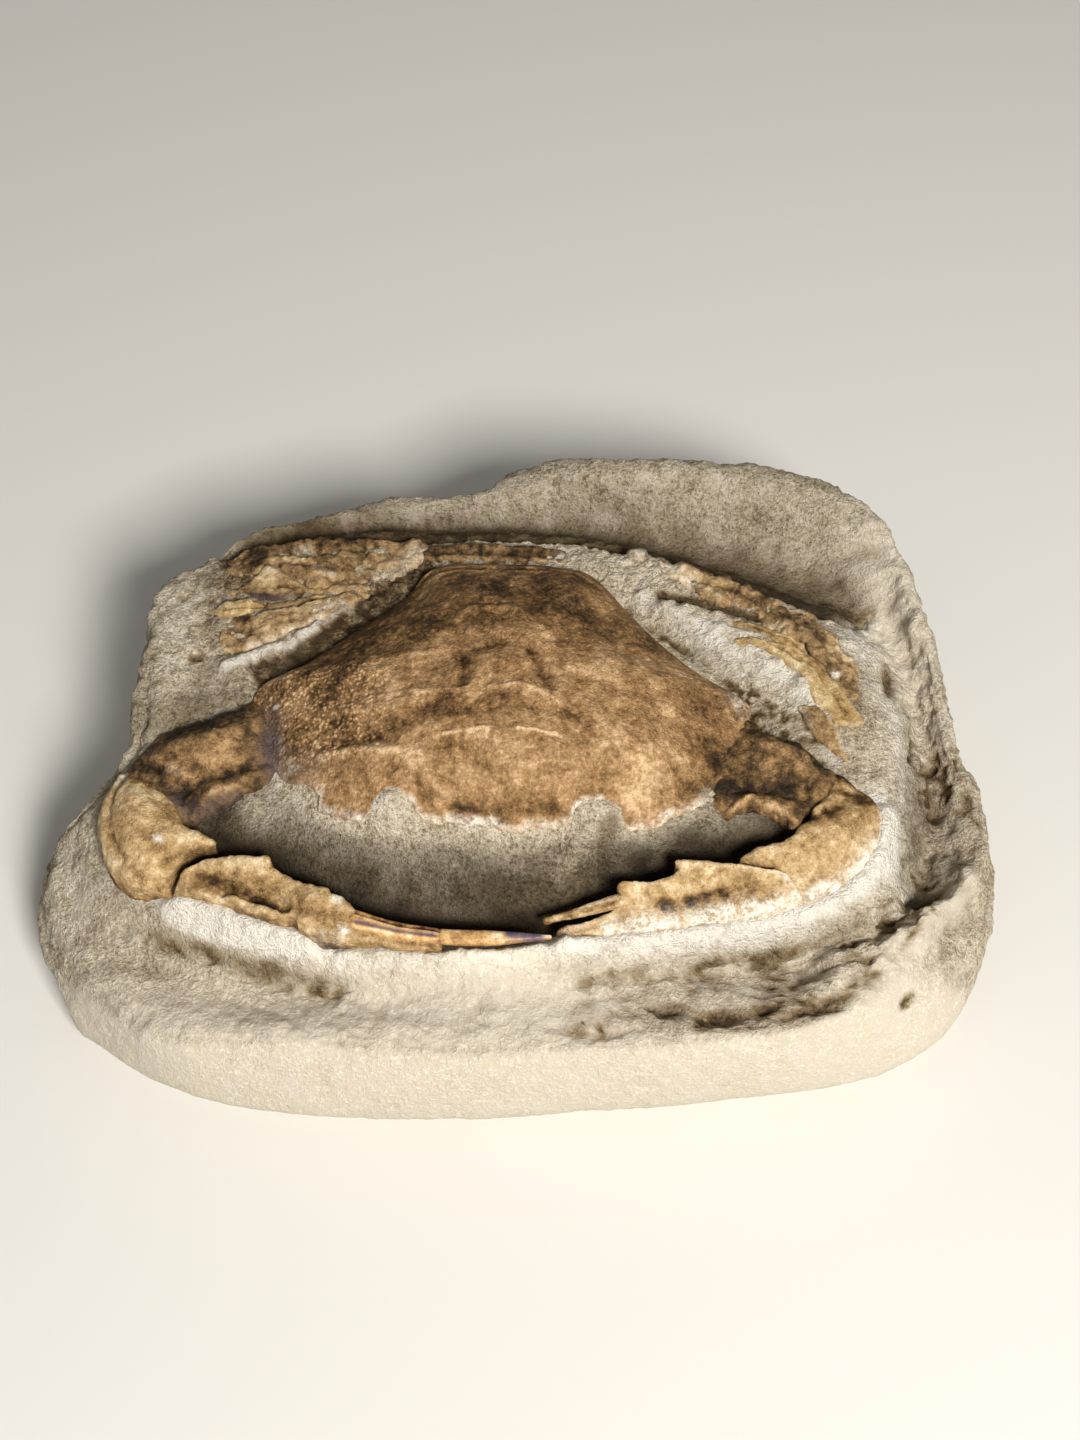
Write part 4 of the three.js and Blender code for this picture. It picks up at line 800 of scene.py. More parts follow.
# Lines of the carapace: (points, width, height, lightness)
SHELL_LINES = [
    ([(-10.9, 4.8), (-9.6, 2.9), (-8.9, 0.6), (-10.4, -1.7)], 1.3, -0.8, -0.40),  # left arm of the H groove
    ([(-10.4, -1.7), (-12.1, -3.3), (-16, -6), (-22, -9), (-29, -11)], 1.6, -0.45, -0.24),
    ([(2.6, 5.2), (4.0, 2.6), (5.4, 0.0)], 1.2, -0.7, -0.34),  # its right arm
    ([(5.4, 0), (6.5, -3.5)], 0.9, -0.3, -0.16),
    ([(-8.1, 6.2), (-5.3, 6.9), (-2.4, 7.2), (1.2, 6.5), (3.3, 5.2)], 0.7, -0.4, -0.20),  # the cap over it
    ([(-8.9, 9.9), (-5.3, 10.6), (-1, 10.1), (3.9, 9.7)], 1.6, 0.35, 0.24),
    ([(-11.9, 14.1), (-9.8, 16.8), (-5.4, 16.9), (-1.1, 16.7), (1.8, 14.6), (4, 11.8)], 0.8, 0.4, 0.2),
    ([(-9.8, 15.2), (-8.9, 10.8), (-7.8, 7.5)], 0.8, 0.3, 0.12),
    ([(-27.1, -2.8), (-22.8, -2.6), (-17.8, -2.9), (-12.8, -3.4), (-9.3, -3.3)], 0.7, 0.45, 0.24),
    ([(-5.1, -3.2), (0.5, -2.8), (4, -4), (6.8, -5.7), (8.9, -7.1)], 0.6, 0.45, 0.26),
    ([(-13.7, -12.4), (-11.2, -12.2), (-8.5, -11.9), (-5, -11.9)], 0.30, 0.5, 0.75),  # two thin bright ridges
    ([(0.2, -12.2), (4, -12.3), (7.5, -12.7)], 0.28, 0.5, 0.75),
    ([(-37.8, -11.9), (-31.1, -13), (-23.9, -14.2), (-18.2, -15.4)], 0.9, 0.6, 0.26),
    ([(-36.5, -9.8), (-30, -10.8), (-23, -11.8)], 1.1, -0.4, -0.22),
    ([(-46, -2), (-35, -3.6), (-20, -5)], 1.6, 0.5, 0.10),
    ([(18, -4.6), (30, -4.2), (41, -5.6)], 1.3, 0.4, 0.12),
    ([(10, 3), (18, 1), (27, 1.6)], 1.6, 0.3, 0.08),
    # painted shade under the bright ridges and across the front hollows
    ([(-14, -13.8), (-9.1, -14.6), (-5, -14.3)], 0.9, -0.3, -0.16),
    ([(-20.4, -8.6), (-15.5, -8.4), (-10.6, -8), (-5, -8.9)], 1.9, -0.4, -0.22),
    ([(0.5, -6.7), (5.4, -7.3), (8.9, -8.6), (13, -9.2)], 1.3, -0.3, -0.2),
    ([(29.3, -13.4), (31.4, -16.6), (32.1, -19.4)], 1.2, -0.6, -0.24),  # folds of the right shoulder
    ([(36.9, -8.8), (38.3, -11.2), (37.3, -15.4)], 1.7, -0.5, -0.26),
    ([(33.4, -17.8), (36, -19)], 1.3, -0.3, -0.22),
    ([(-12, -23.2), (-5, -24), (1.9, -23.9), (6.8, -23.2)], 1.1, -0.3, -0.32),
    ([(-18.9, -18.9), (-17.5, -21.6), (-16.1, -23.1)], 0.8, -0.5, -0.22),
    ([(-24.9, 28.8), (-19.7, 34.0), (-15.8, 33.7), (-5.9, 33.9), (5.5, 33.4), (11.6, 32.2), (17, 28.6)],
     0.45, 0.5, 0.22),
    ([(-22.6, 27.6), (-18.4, 32.2), (-5.8, 32.5), (5.5, 32.2), (11.5, 31)], 0.6, -0.35, -0.18),
    ([(-46, 10.6), (-34, 17.6), (-24.4, 26), (-19.4, 31.6)], 1.8, 0, -0.2),  # the shaded left margin
    ([(-18.7, 30.3), (-13.3, 31.1), (-5.8, 31), (5.5, 31.2), (11.5, 29.9)], 0.5, 0.25, 0.12),
]
# Mounds and hollows: (x, y, half width, half depth, turn, height, lightness). Some lightness is painted shade on the
# left and back slopes of the shell.
SHELL_MOUNDS = [
    (-3, 3.2, 3.4, 3.0, 0, 0.8, -0.04), (2, -16, 14, 5, 0, 0.9, 0.02), (23, -13, 7, 5, 0, 0.6, 0.02),
    (-27, -17, 6, 4, 0, 0.6, 0.04), (-17, -8, 8, 3, 0, -0.3, -0.04), (6, -16, 20, 6, 0, 0, 0.06),
    (-8, 24, 15, 4, 0, 0, -0.10), (-33, 11, 11, 5, 30, -0.2, -0.14), (17, 25, 4, 7, 35, 0, 0.13),
    (-19, 29, 5, 3, 30, 0, 0.13), (-3, 6, 5, 2.4, 0, 0, -0.08), (40, -9, 6, 9, 25, 0, -0.30),
    (-48.6, 9.2, 1.6, 1.2, 0, 0.3, 0.4), (-47.6, 10.2, 5, 3.4, 25, 0, 0.36), (-20, 33.4, 4, 3, 40, 0, 0.14),
    (31, -17, 5, 4, 0, 0, -0.1), (0, -26, 30, 2.4, 0, 0, -0.08), (16, 6, 9, 4, 0, 0.2, 0.13),
    (-22, 5, 7, 4, 20, 0, 0.09), (-23, -5, 6, 1.8, 5, 0.2, 0.14), (15, -19.5, 4, 2.4, 0, -0.2, -0.15),
    (13, 14, 5, 3, -20, 0, -0.1), (26, -18, 4, 3, 0, 0.2, 0.06), (15, -5, 5, 4, 0, 0, 0.08),
    (-20, 26, 7, 5, 20, 0, 0.2), (17, 22, 4, 4, 0, 0, 0.07), (-14, 14, 4, 3, 0, 0, -0.10),
    (-5, 13, 4, 1.6, 0, 0, -0.10),
]


def shell_relief(p):
    """Height that the carapace's ridges, grooves and granules add to the dome, its tone, and where it is granular."""
    x, y = p[:, 0], p[:, 1]
    patchy = 0.75 + 0.55 * rough(p, 3.5, 105, 3)
    h = 0.75 * rough(p, 9, 111, 3) + 0.30 * rough(p, 3, 121, 3) + 0.18 * creases(p, 2.6, 125)
    h = h + 0.14 * rough(p, 1.2, 131, 3)
    # the tone is lighter towards the front and darker towards the back: partly the shell's own colour, partly painted
    # light and shade
    tone = 0.545 + 0.085 * step(y, 6, -14) - 0.22 * step(y, 5, 18) + 0.15 * rough(p, 6, 171, 4)
    tone = tone + 0.05 * creases(p, 3, 125)
    for path, width, rise, light in SHELL_LINES:
        line = stroke(p, path, width)
        h = h + rise * line
        tone = tone + light * line * patchy
    for x0, y0, wide, deep, turn, rise, light in SHELL_MOUNDS:
        mound = blob(p, x0, y0, wide, deep, turn)
        h = h + rise * mound
        tone = tone + light * mound
    branchial = step(x, -21, -31) * step(y, 12, 5) * step(y, -16, -11)
    granule, mark = cells(p * (1, 1, 0.4), 1.35, 141)
    grains = np.maximum(0, 1 - (granule / (0.30 + 0.2 * mark)) ** 2)
    h = np.maximum(h + 0.34 * grains * branchial, -0.95)
    tone = tone + 0.34 * grains * branchial - 0.07 * branchial + 0.08 * step(y, 26, 31)
    return h, tone, 0.3 + 0.7 * branchial


def build_carapace():
    """The domed shell with its torn margin, and its edge down into the stone."""
    angles = np.linspace(-math.pi, math.pi, SHELL_COLUMNS, endpoint=False)
    reach = polar(MARGIN, angles)[0]
    around = np.stack([np.cos(angles), np.sin(angles)], axis=-1)
    border = np.concatenate([CENTRE + around * reach[:, None], np.zeros((SHELL_COLUMNS, 1))], axis=1)
    ragged = step(border[:, 1], -12, -19)
    reach = reach + ragged * (0.55 * rough(border, 2.4, 181, 3) - 0.2)
    shares = np.linspace(0.015, 1, SHELL_ROWS) ** 0.8
    g = CENTRE + around * (reach * shares[:, None])[..., None]
    p = np.concatenate([g.reshape(-1, 2), np.zeros((g.shape[0] * SHELL_COLUMNS, 1))], axis=1)
    plain = dome(p)
    p[:, 2] = plain
    h, tone, granular = shell_relief(p)
    top = p.copy()
    top[:, 2] = plain + h * np.repeat(step(shares, 1.02, 0.9), SHELL_COLUMNS) - 0.15
    rim = top[-SHELL_COLUMNS:]
    rim_tone = tone[-SHELL_COLUMNS:]
    lip = []
    for out, down in LIP_ROWS:
        row = rim.copy()
        row[:, :2] += around * out
        row[:, 2] -= down
        lip.append(row)
    points = np.concatenate([top] + lip)
    tones = np.concatenate([tone] + [rim_tone + 0.05] * len(lip))
    edge = np.concatenate([np.repeat(step(shares, 0.965, 0.998), SHELL_COLUMNS), np.ones(SHELL_COLUMNS * len(lip))])
    front = step(points[:, 1], -14, -21)
    residue = edge * front * (0.55 + 0.5 * rough(points, 2.6, 191, 3))
    residue = residue + layers(
        points, (0.7 * (0.7 + 0.6 * rough(points, 2, 201, 2)), blob, 44.5, 3.5, 2.6, 3.2),
        (0.55 * (0.6 + 0.9 * rough(points, 1.4, 203, 2)), blob, -43.4, -12.6, 3.4, 2.2),
        *((1.3, blob, *dot, 0.5, 0.5) for dot in SHELL_DOTS))
    masks = {
        "tone": np.clip(tones, 0, 1),
        "residue": np.clip(residue, 0, 1),
        "violet": np.clip(1.2 * blob(points, -48, -6, 2.6, 6.5, 8) + 0.5 * blob(points, -42, -13, 5, 3), 0, 0.9),
        "granular": np.concatenate([granular, np.zeros(len(points) - len(granular))]),
    }
    rows = len(points) // SHELL_COLUMNS
    obj = make_mesh("shell", points, grid_faces(rows, SHELL_COLUMNS), masks)
    close_ends(obj, rows, SHELL_COLUMNS)
    return obj


# ---------------------------------------------------------------- limbs

def loft(stations, sides=40, spans=12):
    """A tube through stations (x, y, z, half width, height above, depth below), rounded off at both ends."""
    s = catmull(stations, spans)
    run = np.gradient(s[:, :3], axis=0)
    run[:, 2] = 0.0
    run /= np.linalg.norm(run, axis=1, keepdims=True)
    side = np.stack([-run[:, 1], run[:, 0], np.zeros(len(s))], axis=1)
    rows = [(s[i, :3], side[i], s[i, 3:]) for i in range(len(s))]
    for end, way in ((0, -1), (-1, 1)):
        centre, across, sizes = rows[end]
        length = 0.7 * min(sizes[0], sizes[1] + sizes[2])
        cap = [(centre + way * run[end] * length * math.sin(t), across, sizes * math.cos(t)) for t in (0.5, 0.95, 1.3)]
        rows = cap[::-1] + rows if end == 0 else rows + cap
    turn = np.linspace(0, 2 * math.pi, sides, endpoint=False)
    points = []
    for centre, across, (half, up, down) in rows:
        lift = np.sin(turn) * np.where(np.sin(turn) > 0, up, down)
        points.append(centre + np.cos(turn)[:, None] * across * half + np.array((0, 0, 1)) * lift[:, None])
    faces = [list(f) for f in grid_faces(len(points), sides)]
    last = (len(points) - 1) * sides
    faces += [list(range(sides)), [last + k for k in range(sides)][::-1]]
    return np.concatenate(points), faces


def skin(name, points, faces, voxel=VOXEL, smooth=3):
    """An even, finely meshed skin over a closed part."""
    core = make_mesh(name + "_core", points, faces)
    remesh = core.modifiers.new("remesh", "REMESH")
    remesh.mode, remesh.voxel_size = "VOXEL", voxel * MM
    soften = core.modifiers.new("soften", "SMOOTH")
    soften.factor, soften.iterations = 0.5, smooth
    mesh = bpy.data.meshes.new_from_object(core.evaluated_get(bpy.context.evaluated_depsgraph_get()))
    bpy.data.objects.remove(core)
    mesh.name = name
    return mesh


def read(mesh, what):
    """Each point's "co" or "normal" as an array."""
    values = np.empty(len(mesh.vertices) * 3, np.float32)
    mesh.vertices.foreach_get(what, values)
    return values.reshape(-1, 3).astype(float)


def surface(p, spots, soft=2.0):
    """Height over points of the smooth surface that passes through spots (x, y, z)."""
    spots = np.asarray(spots, float)
    reach = lambda a: np.sqrt(((a[:, None, :2] - spots[None, :, :2]) ** 2).sum(-1) + soft ** 2)
    middle = spots[:, 2].mean()
    return middle + reach(p) @ np.linalg.solve(reach(spots), spots[:, 2] - middle)


def plate(name, outline, spots, foot, edge=1.4, ragged=0.25, voxel=VOXEL):
    """A piece with walls down to foot under an outline (x, y), a top through spots (x, y, z) and rounded edges."""
    rim = catmull(outline, 14, closed=True)
    seed = 400 + sum(map(ord, name))
    flat = np.column_stack([rim, np.zeros(len(rim))])
    run = np.roll(rim, -1, axis=0) - np.roll(rim, 1, axis=0)
    run /= np.maximum(np.linalg.norm(run, axis=1, keepdims=True), 1e-6)
    wander = ragged * (rough(flat, 3.2, seed, 3) + 0.5 * rough(flat, 1.2, seed + 5, 2))
    rim = rim + np.column_stack([run[:, 1], -run[:, 0]]) * wander[:, None]
    count, tall = len(rim), 10.0
    points = np.concatenate([np.column_stack([rim, np.full(count, z)]) for z in (foot, foot + tall)])
    faces = [list(f) for f in grid_faces(2, count)] + [list(range(count)), list(range(count, 2 * count))]
    mesh = skin(name, points, faces, voxel, 2)
    p = read(mesh, "co") / MM
    inside = np.clip(away(p, np.concatenate([rim, rim[:1]])) / edge, 0, 1)
    crown = surface(p, spots) - edge * (1 - np.sqrt(1 - (1 - inside) ** 2))
    p[:, 2] = foot + (p[:, 2] - foot) / tall * (crown - foot)
    mesh.vertices.foreach_set("co", (p * MM).astype(np.float32).ravel())
    mesh.update()
    return mesh


def bed(x, y, reach=1.2):
    """Height of the slab at (x, y), evened out over a small patch."""
    drops = [SLAB.ray_cast(Vector((x + a * reach, y + b * reach, 100)) * MM, Vector((0, 0, -1)))[0]
             for a, b in ((0, 0), (1, 0), (-1, 0), (0, 1), (0, -1))]
    return sum(d.z for d in drops) / len(drops) / MM


def dress(name, mesh, material, swell=(), grooves=(), grit=0.22, tone=0.55, tones=(), residue=(), violet=(), top=None):
    """Relief, masks and finish for one limb. swell to violet are (line of points, width, amount)."""
    p, n = read(mesh, "co") / MM, read(mesh, "normal")
    seed = 300 + sum(map(ord, name))
    strokes = lambda lines: sum(amount * stroke(p, path, width) for path, width, amount in lines)
    h = grit * (1.4 * rough(p, 5, seed, 3) + 0.8 * rough(p, 1.8, seed + 10, 3) + 0.8 * creases(p, 2, seed + 20))
    value = tone + 0.16 * rough(p, 4, seed + 30, 3)
    patchy = 0.7 + 0.6 * rough(p, 2.2, seed + 50, 3)
    # painted shade: a plate darkens down its walls, the further below its top surface
    if top is not None:
        value = value - 0.09 * np.clip(top(p) - p[:, 2] - 0.6, 0, 5)
    h = h + strokes(swell) - strokes(grooves)
    value = value + (strokes(tones) - strokes([(path, width, GROOVE_SHADE) for path, width, _ in grooves])) * patchy
    left = strokes(residue) * (0.75 + 0.6 * rough(p, 2, seed + 40, 3))
    blue = strokes(violet) + np.zeros(len(p))
    p = p + n * h[:, None]
    mesh.vertices.foreach_set("co", (p * MM).astype(np.float32).ravel())
    for key, values in (("tone", value), ("residue", left), ("violet", blue)):
        mesh.attributes.new(key, "FLOAT", "POINT").data.foreach_set("value", np.clip(values, 0, 1).astype(np.float32))
    mesh.polygons.foreach_set("use_smooth", [True] * len(mesh.polygons))
    mesh.update()
    obj = bpy.data.objects.new(name + "_skin", mesh)
    bpy.context.collection.objects.link(obj)
    place(obj, name, material)


def slab_limb(name, outline, spots, foot, material, edge=1.4, ragged=0.25, voxel=VOXEL, rise=None, **look):
    """A limb as a plate. With rise, its spots are heights above the slab's own surface."""
    if rise is not None:
        spots = [(x, y, bed(x, y) + rise + z) for x, y, z in spots]
    mesh = plate(name, outline, spots, foot, edge, ragged, voxel)
    dress(name, mesh, material, top=lambda p: surface(p, spots), **look)


def round_limb(name, stations, material, voxel=VOXEL, **look):
    """A limb as a tube through stations (x, y, z, half width, height above, depth below)."""
    dress(name, skin(name, *loft(stations), voxel), material, **look)


# ---------------------------------------------------------------- build

slab = build_stone()
place(slab, "matrix", stone_material())
SLAB = BVHTree.FromPolygons([v.co for v in slab.data.vertices], [f.vertices for f in slab.data.polygons])

SHELL = shell_material("shell_brown", [(44, 29, 12), (93, 67, 36), (146, 111, 69), (187, 149, 105), (226, 192, 150)])
MERUS = shell_material("shell_dark", [(38, 27, 14), (84, 63, 36), (142, 110, 70), (190, 152, 106), (228, 196, 152)])
CLAW = shell_material("shell_tan", [(54, 36, 15), (110, 82, 46), (166, 133, 86), (206, 174, 127), (238, 216, 174)])
LEG = shell_material("shell_leg", [(44, 30, 15), (98, 74, 44), (154, 124, 84), (196, 166, 122), (228, 208, 170)],
                     (0.5, 0.8))
YELLOW = shell_material("shell_ochre", [(50, 36, 18), (108, 82, 46), (166, 134, 84), (202, 172, 120), (234, 214, 170)],
                        (0.38, 0.6))
FINGER = shell_material("shell_finger", [(46, 30, 22), (108, 76, 50), (176, 134, 84), (214, 174, 118), (238, 212, 170)],
                        (0.2, 0.4), 0.12, (86, 80, 104))

place(build_carapace(), "carapace", SHELL)

slab_limb(
    "left_merus", foot=28, material=MERUS, edge=1.2, grit=0.34, tone=0.33,
    outline=[(-49.6, 6), (-56.3, 2.8), (-62.3, 0.2), (-68.4, -2.2), (-72.6, -4.6), (-76.2, -8.6), (-75.6, -12.4),
             (-71, -15.4), (-67.6, -18), (-65.6, -21), (-62.6, -21.6), (-60.6, -20.4), (-58.6, -19.6),
             (-55.4, -17.6), (-51.8, -15.6), (-47.8, -13.4), (-44, -12.2), (-42.4, -8), (-43.6, -1), (-46, 5)],
    spots=[(-50, 5, 41.0), (-62, 0, 41), (-72, -5, 39.4), (-75, -8.6, 38.6), (-47, -2, 41.4), (-53, -2.2, 43.8),
           (-59, -5.4, 44.8), (-66, -7.8, 43.6), (-71, -10, 41.4), (-46, -8, 41.2), (-51, -9.4, 43),
           (-58, -12, 42.4), (-64.6, -13.4, 40.8), (-46, -12, 40.2), (-52, -14, 41.2), (-58, -17.2, 40.8),
           (-62.4, -19.6, 39), (-53.4, -16, 39.8), (-58.6, -19, 38.6)],
    swell=[([(-71, -9.6), (-65, -7), (-56, -4.4), (-51, -2)], 1.2, 0.5),
           ([(-60.5, -17.6), (-54, -14.6), (-48, -12)], 0.8, 0.7),
           ([(-68.4, -10.8), (-64.4, -12.4), (-62, -14.6)], 1.0, 0.6), ([(-60, -8), (-54, -6)], 1.6, 0.3)],
    grooves=[([(-64.6, -16.6), (-59.6, -14.2), (-54, -12.4), (-48, -10.4)], 0.8, 0.5),
             ([(-60.8, -16.4), (-62.8, -19.6)], 0.7, 0.7), ([(-69, -13.6), (-66, -16), (-64.2, -18.6)], 0.7, 0.5),
             ([(-74, -8), (-69.4, -12.4)], 0.6, 0.5)],
    # the dark band along the back edge is painted shadow
    tones=[([(-63, -11), (-54, -9)], 4.0, 0.12), ([(-50, 5.4), (-62, -0.4), (-73, -5.4)], 2.4, -0.34),
           ([(-71, -9.6), (-65, -7.4), (-56, -4.8), (-51, -2.4)], 1.8, 0.16), ([(-60, -9), (-54, -8)], 2.6, 0.12),
           ([(-68.4, -10.6), (-64.4, -12.2), (-62, -14.4)], 1.0, 0.36), ([(-60.5, -17.8), (-54, -14.8)], 0.7, 0.34),
           ([(-64, -17.4), (-62, -20.4)], 1.4, -0.2), ([(-75, -9), (-70, -12)], 1.6, -0.22),
           ([(-62, -11), (-58, -13.6), (-52, -12)], 1.2, -0.16)],
    violet=[([(-47.2, -1), (-48, -7), (-46.6, -11.6)], 2.6, 1.0), ([(-61, -19.6), (-54, -16.4)], 1.6, 0.6),
            ([(-66, -17), (-64, -20)], 1.6, 0.5)],
    residue=[([(-66.8, -11.6), (-65, -12.4)], 0.7, 0.4)])
slab_limb(
    "left_carpus", foot=26, material=CLAW, edge=1.5, ragged=0.12, grit=0.22, tone=0.62,
    outline=[(-75.4, -8.6), (-78.4, -11), (-80.6, -15), (-81.3, -19.6), (-80.2, -24.6), (-77.8, -29.6),
             (-75, -32.4), (-71.2, -33.8), (-67.8, -34.2), (-65.8, -34.6), (-66, -32), (-64.4, -29.8),
             (-61.6, -27.8), (-59, -26.9), (-57, -26.7), (-58.8, -25.4), (-61, -24), (-63.8, -22.8), (-65, -20.4),
             (-66.8, -17.4), (-69.4, -14.6), (-72.4, -11.4)],
    spots=[(-76, -9.4, 38), (-80, -15, 37.2), (-80.6, -20, 36.2), (-79, -26, 35), (-76, -31, 34.2),
           (-70.6, -33.4, 33.8), (-66, -34, 33.4), (-66.6, -30, 36.6), (-62.6, -27.6, 38.8), (-56, -27, 39.6),
           (-59.6, -25, 39.6), (-65, -23.4, 40.2), (-67.6, -17.6, 40.2), (-71, -13, 39.6), (-74, -16, 41),
           (-75.6, -21, 40.4), (-71.6, -21, 41.4), (-73.4, -26.4, 39.2), (-69, -26.4, 39.8), (-71.4, -30.4, 36.8)],
    swell=[([(-77.2, -11), (-79.4, -16), (-79.9, -20), (-78.8, -25), (-76.4, -29.6), (-72.6, -32.2)], 0.45, 0.35),
           ([(-57, -26.8), (-62, -25.6), (-67, -25.4)], 1.0, 0.3)],
    grooves=[([(-76, -11.4), (-78, -16), (-78.4, -20), (-77.2, -25), (-74.8, -29)], 0.5, 0.35),
             ([(-72, -11.6), (-75.4, -10.4)], 1.2, 0.9), ([(-66.6, -21.4), (-70, -17), (-71.4, -13.4)], 0.9, 0.4)],
    # the light line along the rim is a painted highlight
    tones=[([(-77.4, -10.6), (-79.8, -16), (-80.3, -20), (-79.2, -25), (-76.6, -30), (-72, -33)], 0.6, 0.4),
           ([(-73, -11), (-75.4, -12)], 1.8, -0.34), ([(-70.6, -13.8), (-67.6, -17.6)], 1.2, 0.2),
           ([(-73, -16), (-70, -21)], 2.4, 0.08), ([(-62, -25.6), (-68, -24.8)], 1.4, 0.18),
           ([(-57, -26.2), (-61, -24.8)], 1.0, 0.16), ([(-77, -22), (-75.6, -26)], 1.8, -0.16),
           ([(-66, -33.6), (-68, -34)], 1.4, -0.3), ([(-67, -30), (-63, -28.2), (-57, -27.2)], 0.7, -0.3)],
    residue=[([(-76.4, -12), (-78.4, -12.6)], 1.0, 0.8), ([(-68.4, -26), (-67.6, -26.4)], 0.6, 1.0)])
slab_limb(
    "left_propodus", foot=26, material=CLAW, edge=0.7, ragged=0.16, voxel=0.26, grit=0.24, tone=0.60,
    outline=[(-65.6, -34.8), (-64.8, -33.2), (-62.8, -31.2), (-60.4, -29.9), (-57, -29.2), (-53, -29.2),
             (-49.8, -29.6), (-46.8, -29.9), (-46.4, -31), (-44.8, -32.2), (-42, -33.4), (-38.6, -34.8),
             (-35.4, -35.6), (-34.6, -36.6), (-32.6, -37.2), (-30.6, -38.6), (-29.8, -41), (-24, -42.6),
             (-18.6, -43.6), (-14.4, -44), (-13.6, -45.4), (-19, -45.3), (-25, -44.5), (-31, -44), (-35.8, -44),
             (-39.4, -43), (-41, -41.6), (-42, -40.2), (-45, -40.2), (-50, -38.8), (-55.6, -36.8), (-60.6, -35.2),
             (-63.6, -35.4)],
    spots=[(-65, -34.4, 33.4), (-63, -32, 36.4), (-60, -30.4, 38), (-55, -29.8, 38.6), (-50, -30.2, 39),
           (-47, -30.1, 39.2), (-43.6, -33, 37.2), (-39.6, -35, 37.2), (-35.6, -36, 37.4), (-61.6, -33, 36),
           (-55, -33.2, 36.6), (-49, -33.8, 36.6), (-55, -35.2, 34.4), (-49, -36.6, 33.8), (-44.4, -38, 33.4),
           (-41.6, -36.6, 36), (-60, -34.8, 35.4), (-54, -36.4, 35.4), (-47.6, -38.8, 35), (-43.4, -39.8, 34.8),
           (-38, -38.6, 36.8), (-34, -38.6, 36.6), (-37.6, -42, 34.8), (-33, -42.4, 34.6), (-31, -39.6, 35.2),
           (-29, -43, 33), (-22, -44.2, 32.4), (-14, -44.8, 32)],
    swell=[([(-36.4, -40.6), (-33.4, -42.2)], 1.3, 0.6), ([(-38.6, -37.2), (-35, -38)], 1.2, 0.5),
           ([(-32.8, -37.8), (-31.6, -39.6)], 1.0, 0.5),
           ([(-61, -34.6), (-54, -36.4), (-47, -38.8), (-43.4, -39.8)], 0.5, 0.5),
           ([(-58, -30.6), (-52, -30.4), (-47.4, -30.6)], 0.8, 0.3)],
    grooves=[([(-61, -32.6), (-56.6, -33.8), (-52.6, -35.4), (-48, -36.8), (-43.4, -38.6)], 0.9, 0.6),
             ([(-38.6, -39.6), (-34.6, -40)], 0.8, 0.5), ([(-53, -32.6), (-48, -34)], 0.5, 0.3),
             ([(-29, -43.2), (-22, -44.4), (-14, -45)], 0.3, 0.15), ([(-41.6, -35.4), (-40.6, -39.6)], 0.6, 0.5)],
    tones=[([(-59, -33.4), (-52.6, -35.4), (-48, -36.8), (-44, -38.6)], 1.5, -0.34),
           ([(-49, -36.6), (-44.4, -38.6)], 1.4, -0.2), ([(-61, -30.6), (-52, -30.2), (-47.4, -30.6)], 0.9, 0.3),
           ([(-60.6, -35), (-54, -36.9), (-50, -38.2), (-43.6, -40)], 0.5, 0.4),
           ([(-54, -31.6), (-48, -32)], 1.2, 0.18), ([(-40, -36.4), (-37, -37)], 1.4, 0.1),
           ([(-63.8, -33), (-62, -33.4)], 1.2, -0.12), ([(-27, -43.4), (-14, -45)], 1.4, -0.04)],
    residue=[([(-33.9, -37.4), (-33.3, -37.8)], 0.75, 1.6), ([(-32.6, -42.6), (-32.0, -42.8)], 0.75, 1.6),
             ([(-38.6, -43.2), (-33, -44)], 0.6, 0.4)])
round_limb(
    "left_dactylus", material=FINGER, grit=0.05, tone=0.62, voxel=0.2,
    stations=[(-31, -40.2, 33.6, 2.0, 1.5, 2.4), (-24, -42.0, 33.1, 1.75, 1.4, 2.2),
              (-14.6, -43.3, 32.7, 1.5, 1.2, 2.0), (-5, -43.5, 32.4, 1.4, 1.1, 1.9),
              (1, -43.3, 32.2, 0.95, 0.8, 1.5), (6.4, -43.1, 32.0, 0.4, 0.4, 0.8)],
    grooves=[([(-31, -39.2, 35), (-22, -41.8, 34.4), (-14.8, -42.6, 33.8)], 0.3, 0.3),
             ([(-31, -41.2, 34.9), (-22, -43, 34.2), (-14.8, -43.7, 33.8)], 0.3, 0.25),
             ([(-14.4, -41.4, 33), (-14.4, -43.3, 34.2), (-14.6, -45.2, 32.8)], 0.28, 0.35)],
    tones=[([(-30, -39.4, 35), (-22, -41.8, 34.4), (-15, -42.5, 33.8)], 0.45, -0.4),
           ([(-30, -40.2, 35), (-22, -42.4, 34.5), (-15, -43.1, 34)], 0.3, 0.35),
           ([(-30, -42.2, 34.4), (-22, -43.6, 33.8), (-15, -44.3, 33.4)], 0.4, 0.3),
           ([(-13.6, -43.2, 34), (-5, -43.4, 33.5)], 1.2, 0.1),
           ([(-4.4, -43.5, 33.4), (-3.4, -43.5, 33.4)], 0.7, 0.35), ([(1.4, -43.2), (6, -43)], 1.2, -0.2)],
    residue=[([(-4, -43.5, 33.4), (-3.2, -43.5, 33.4)], 0.5, 0.7), ([(4.8, -42.8), (6.4, -43)], 0.4, 1.2)],
    violet=[([(-1.2, -43), (1, -43.2), (4, -43.2)], 1.1, 1.2),
            ([(-30, -41.4, 35), (-22, -43, 34.2), (-15, -43.7, 33.8)], 0.4, 0.9)])
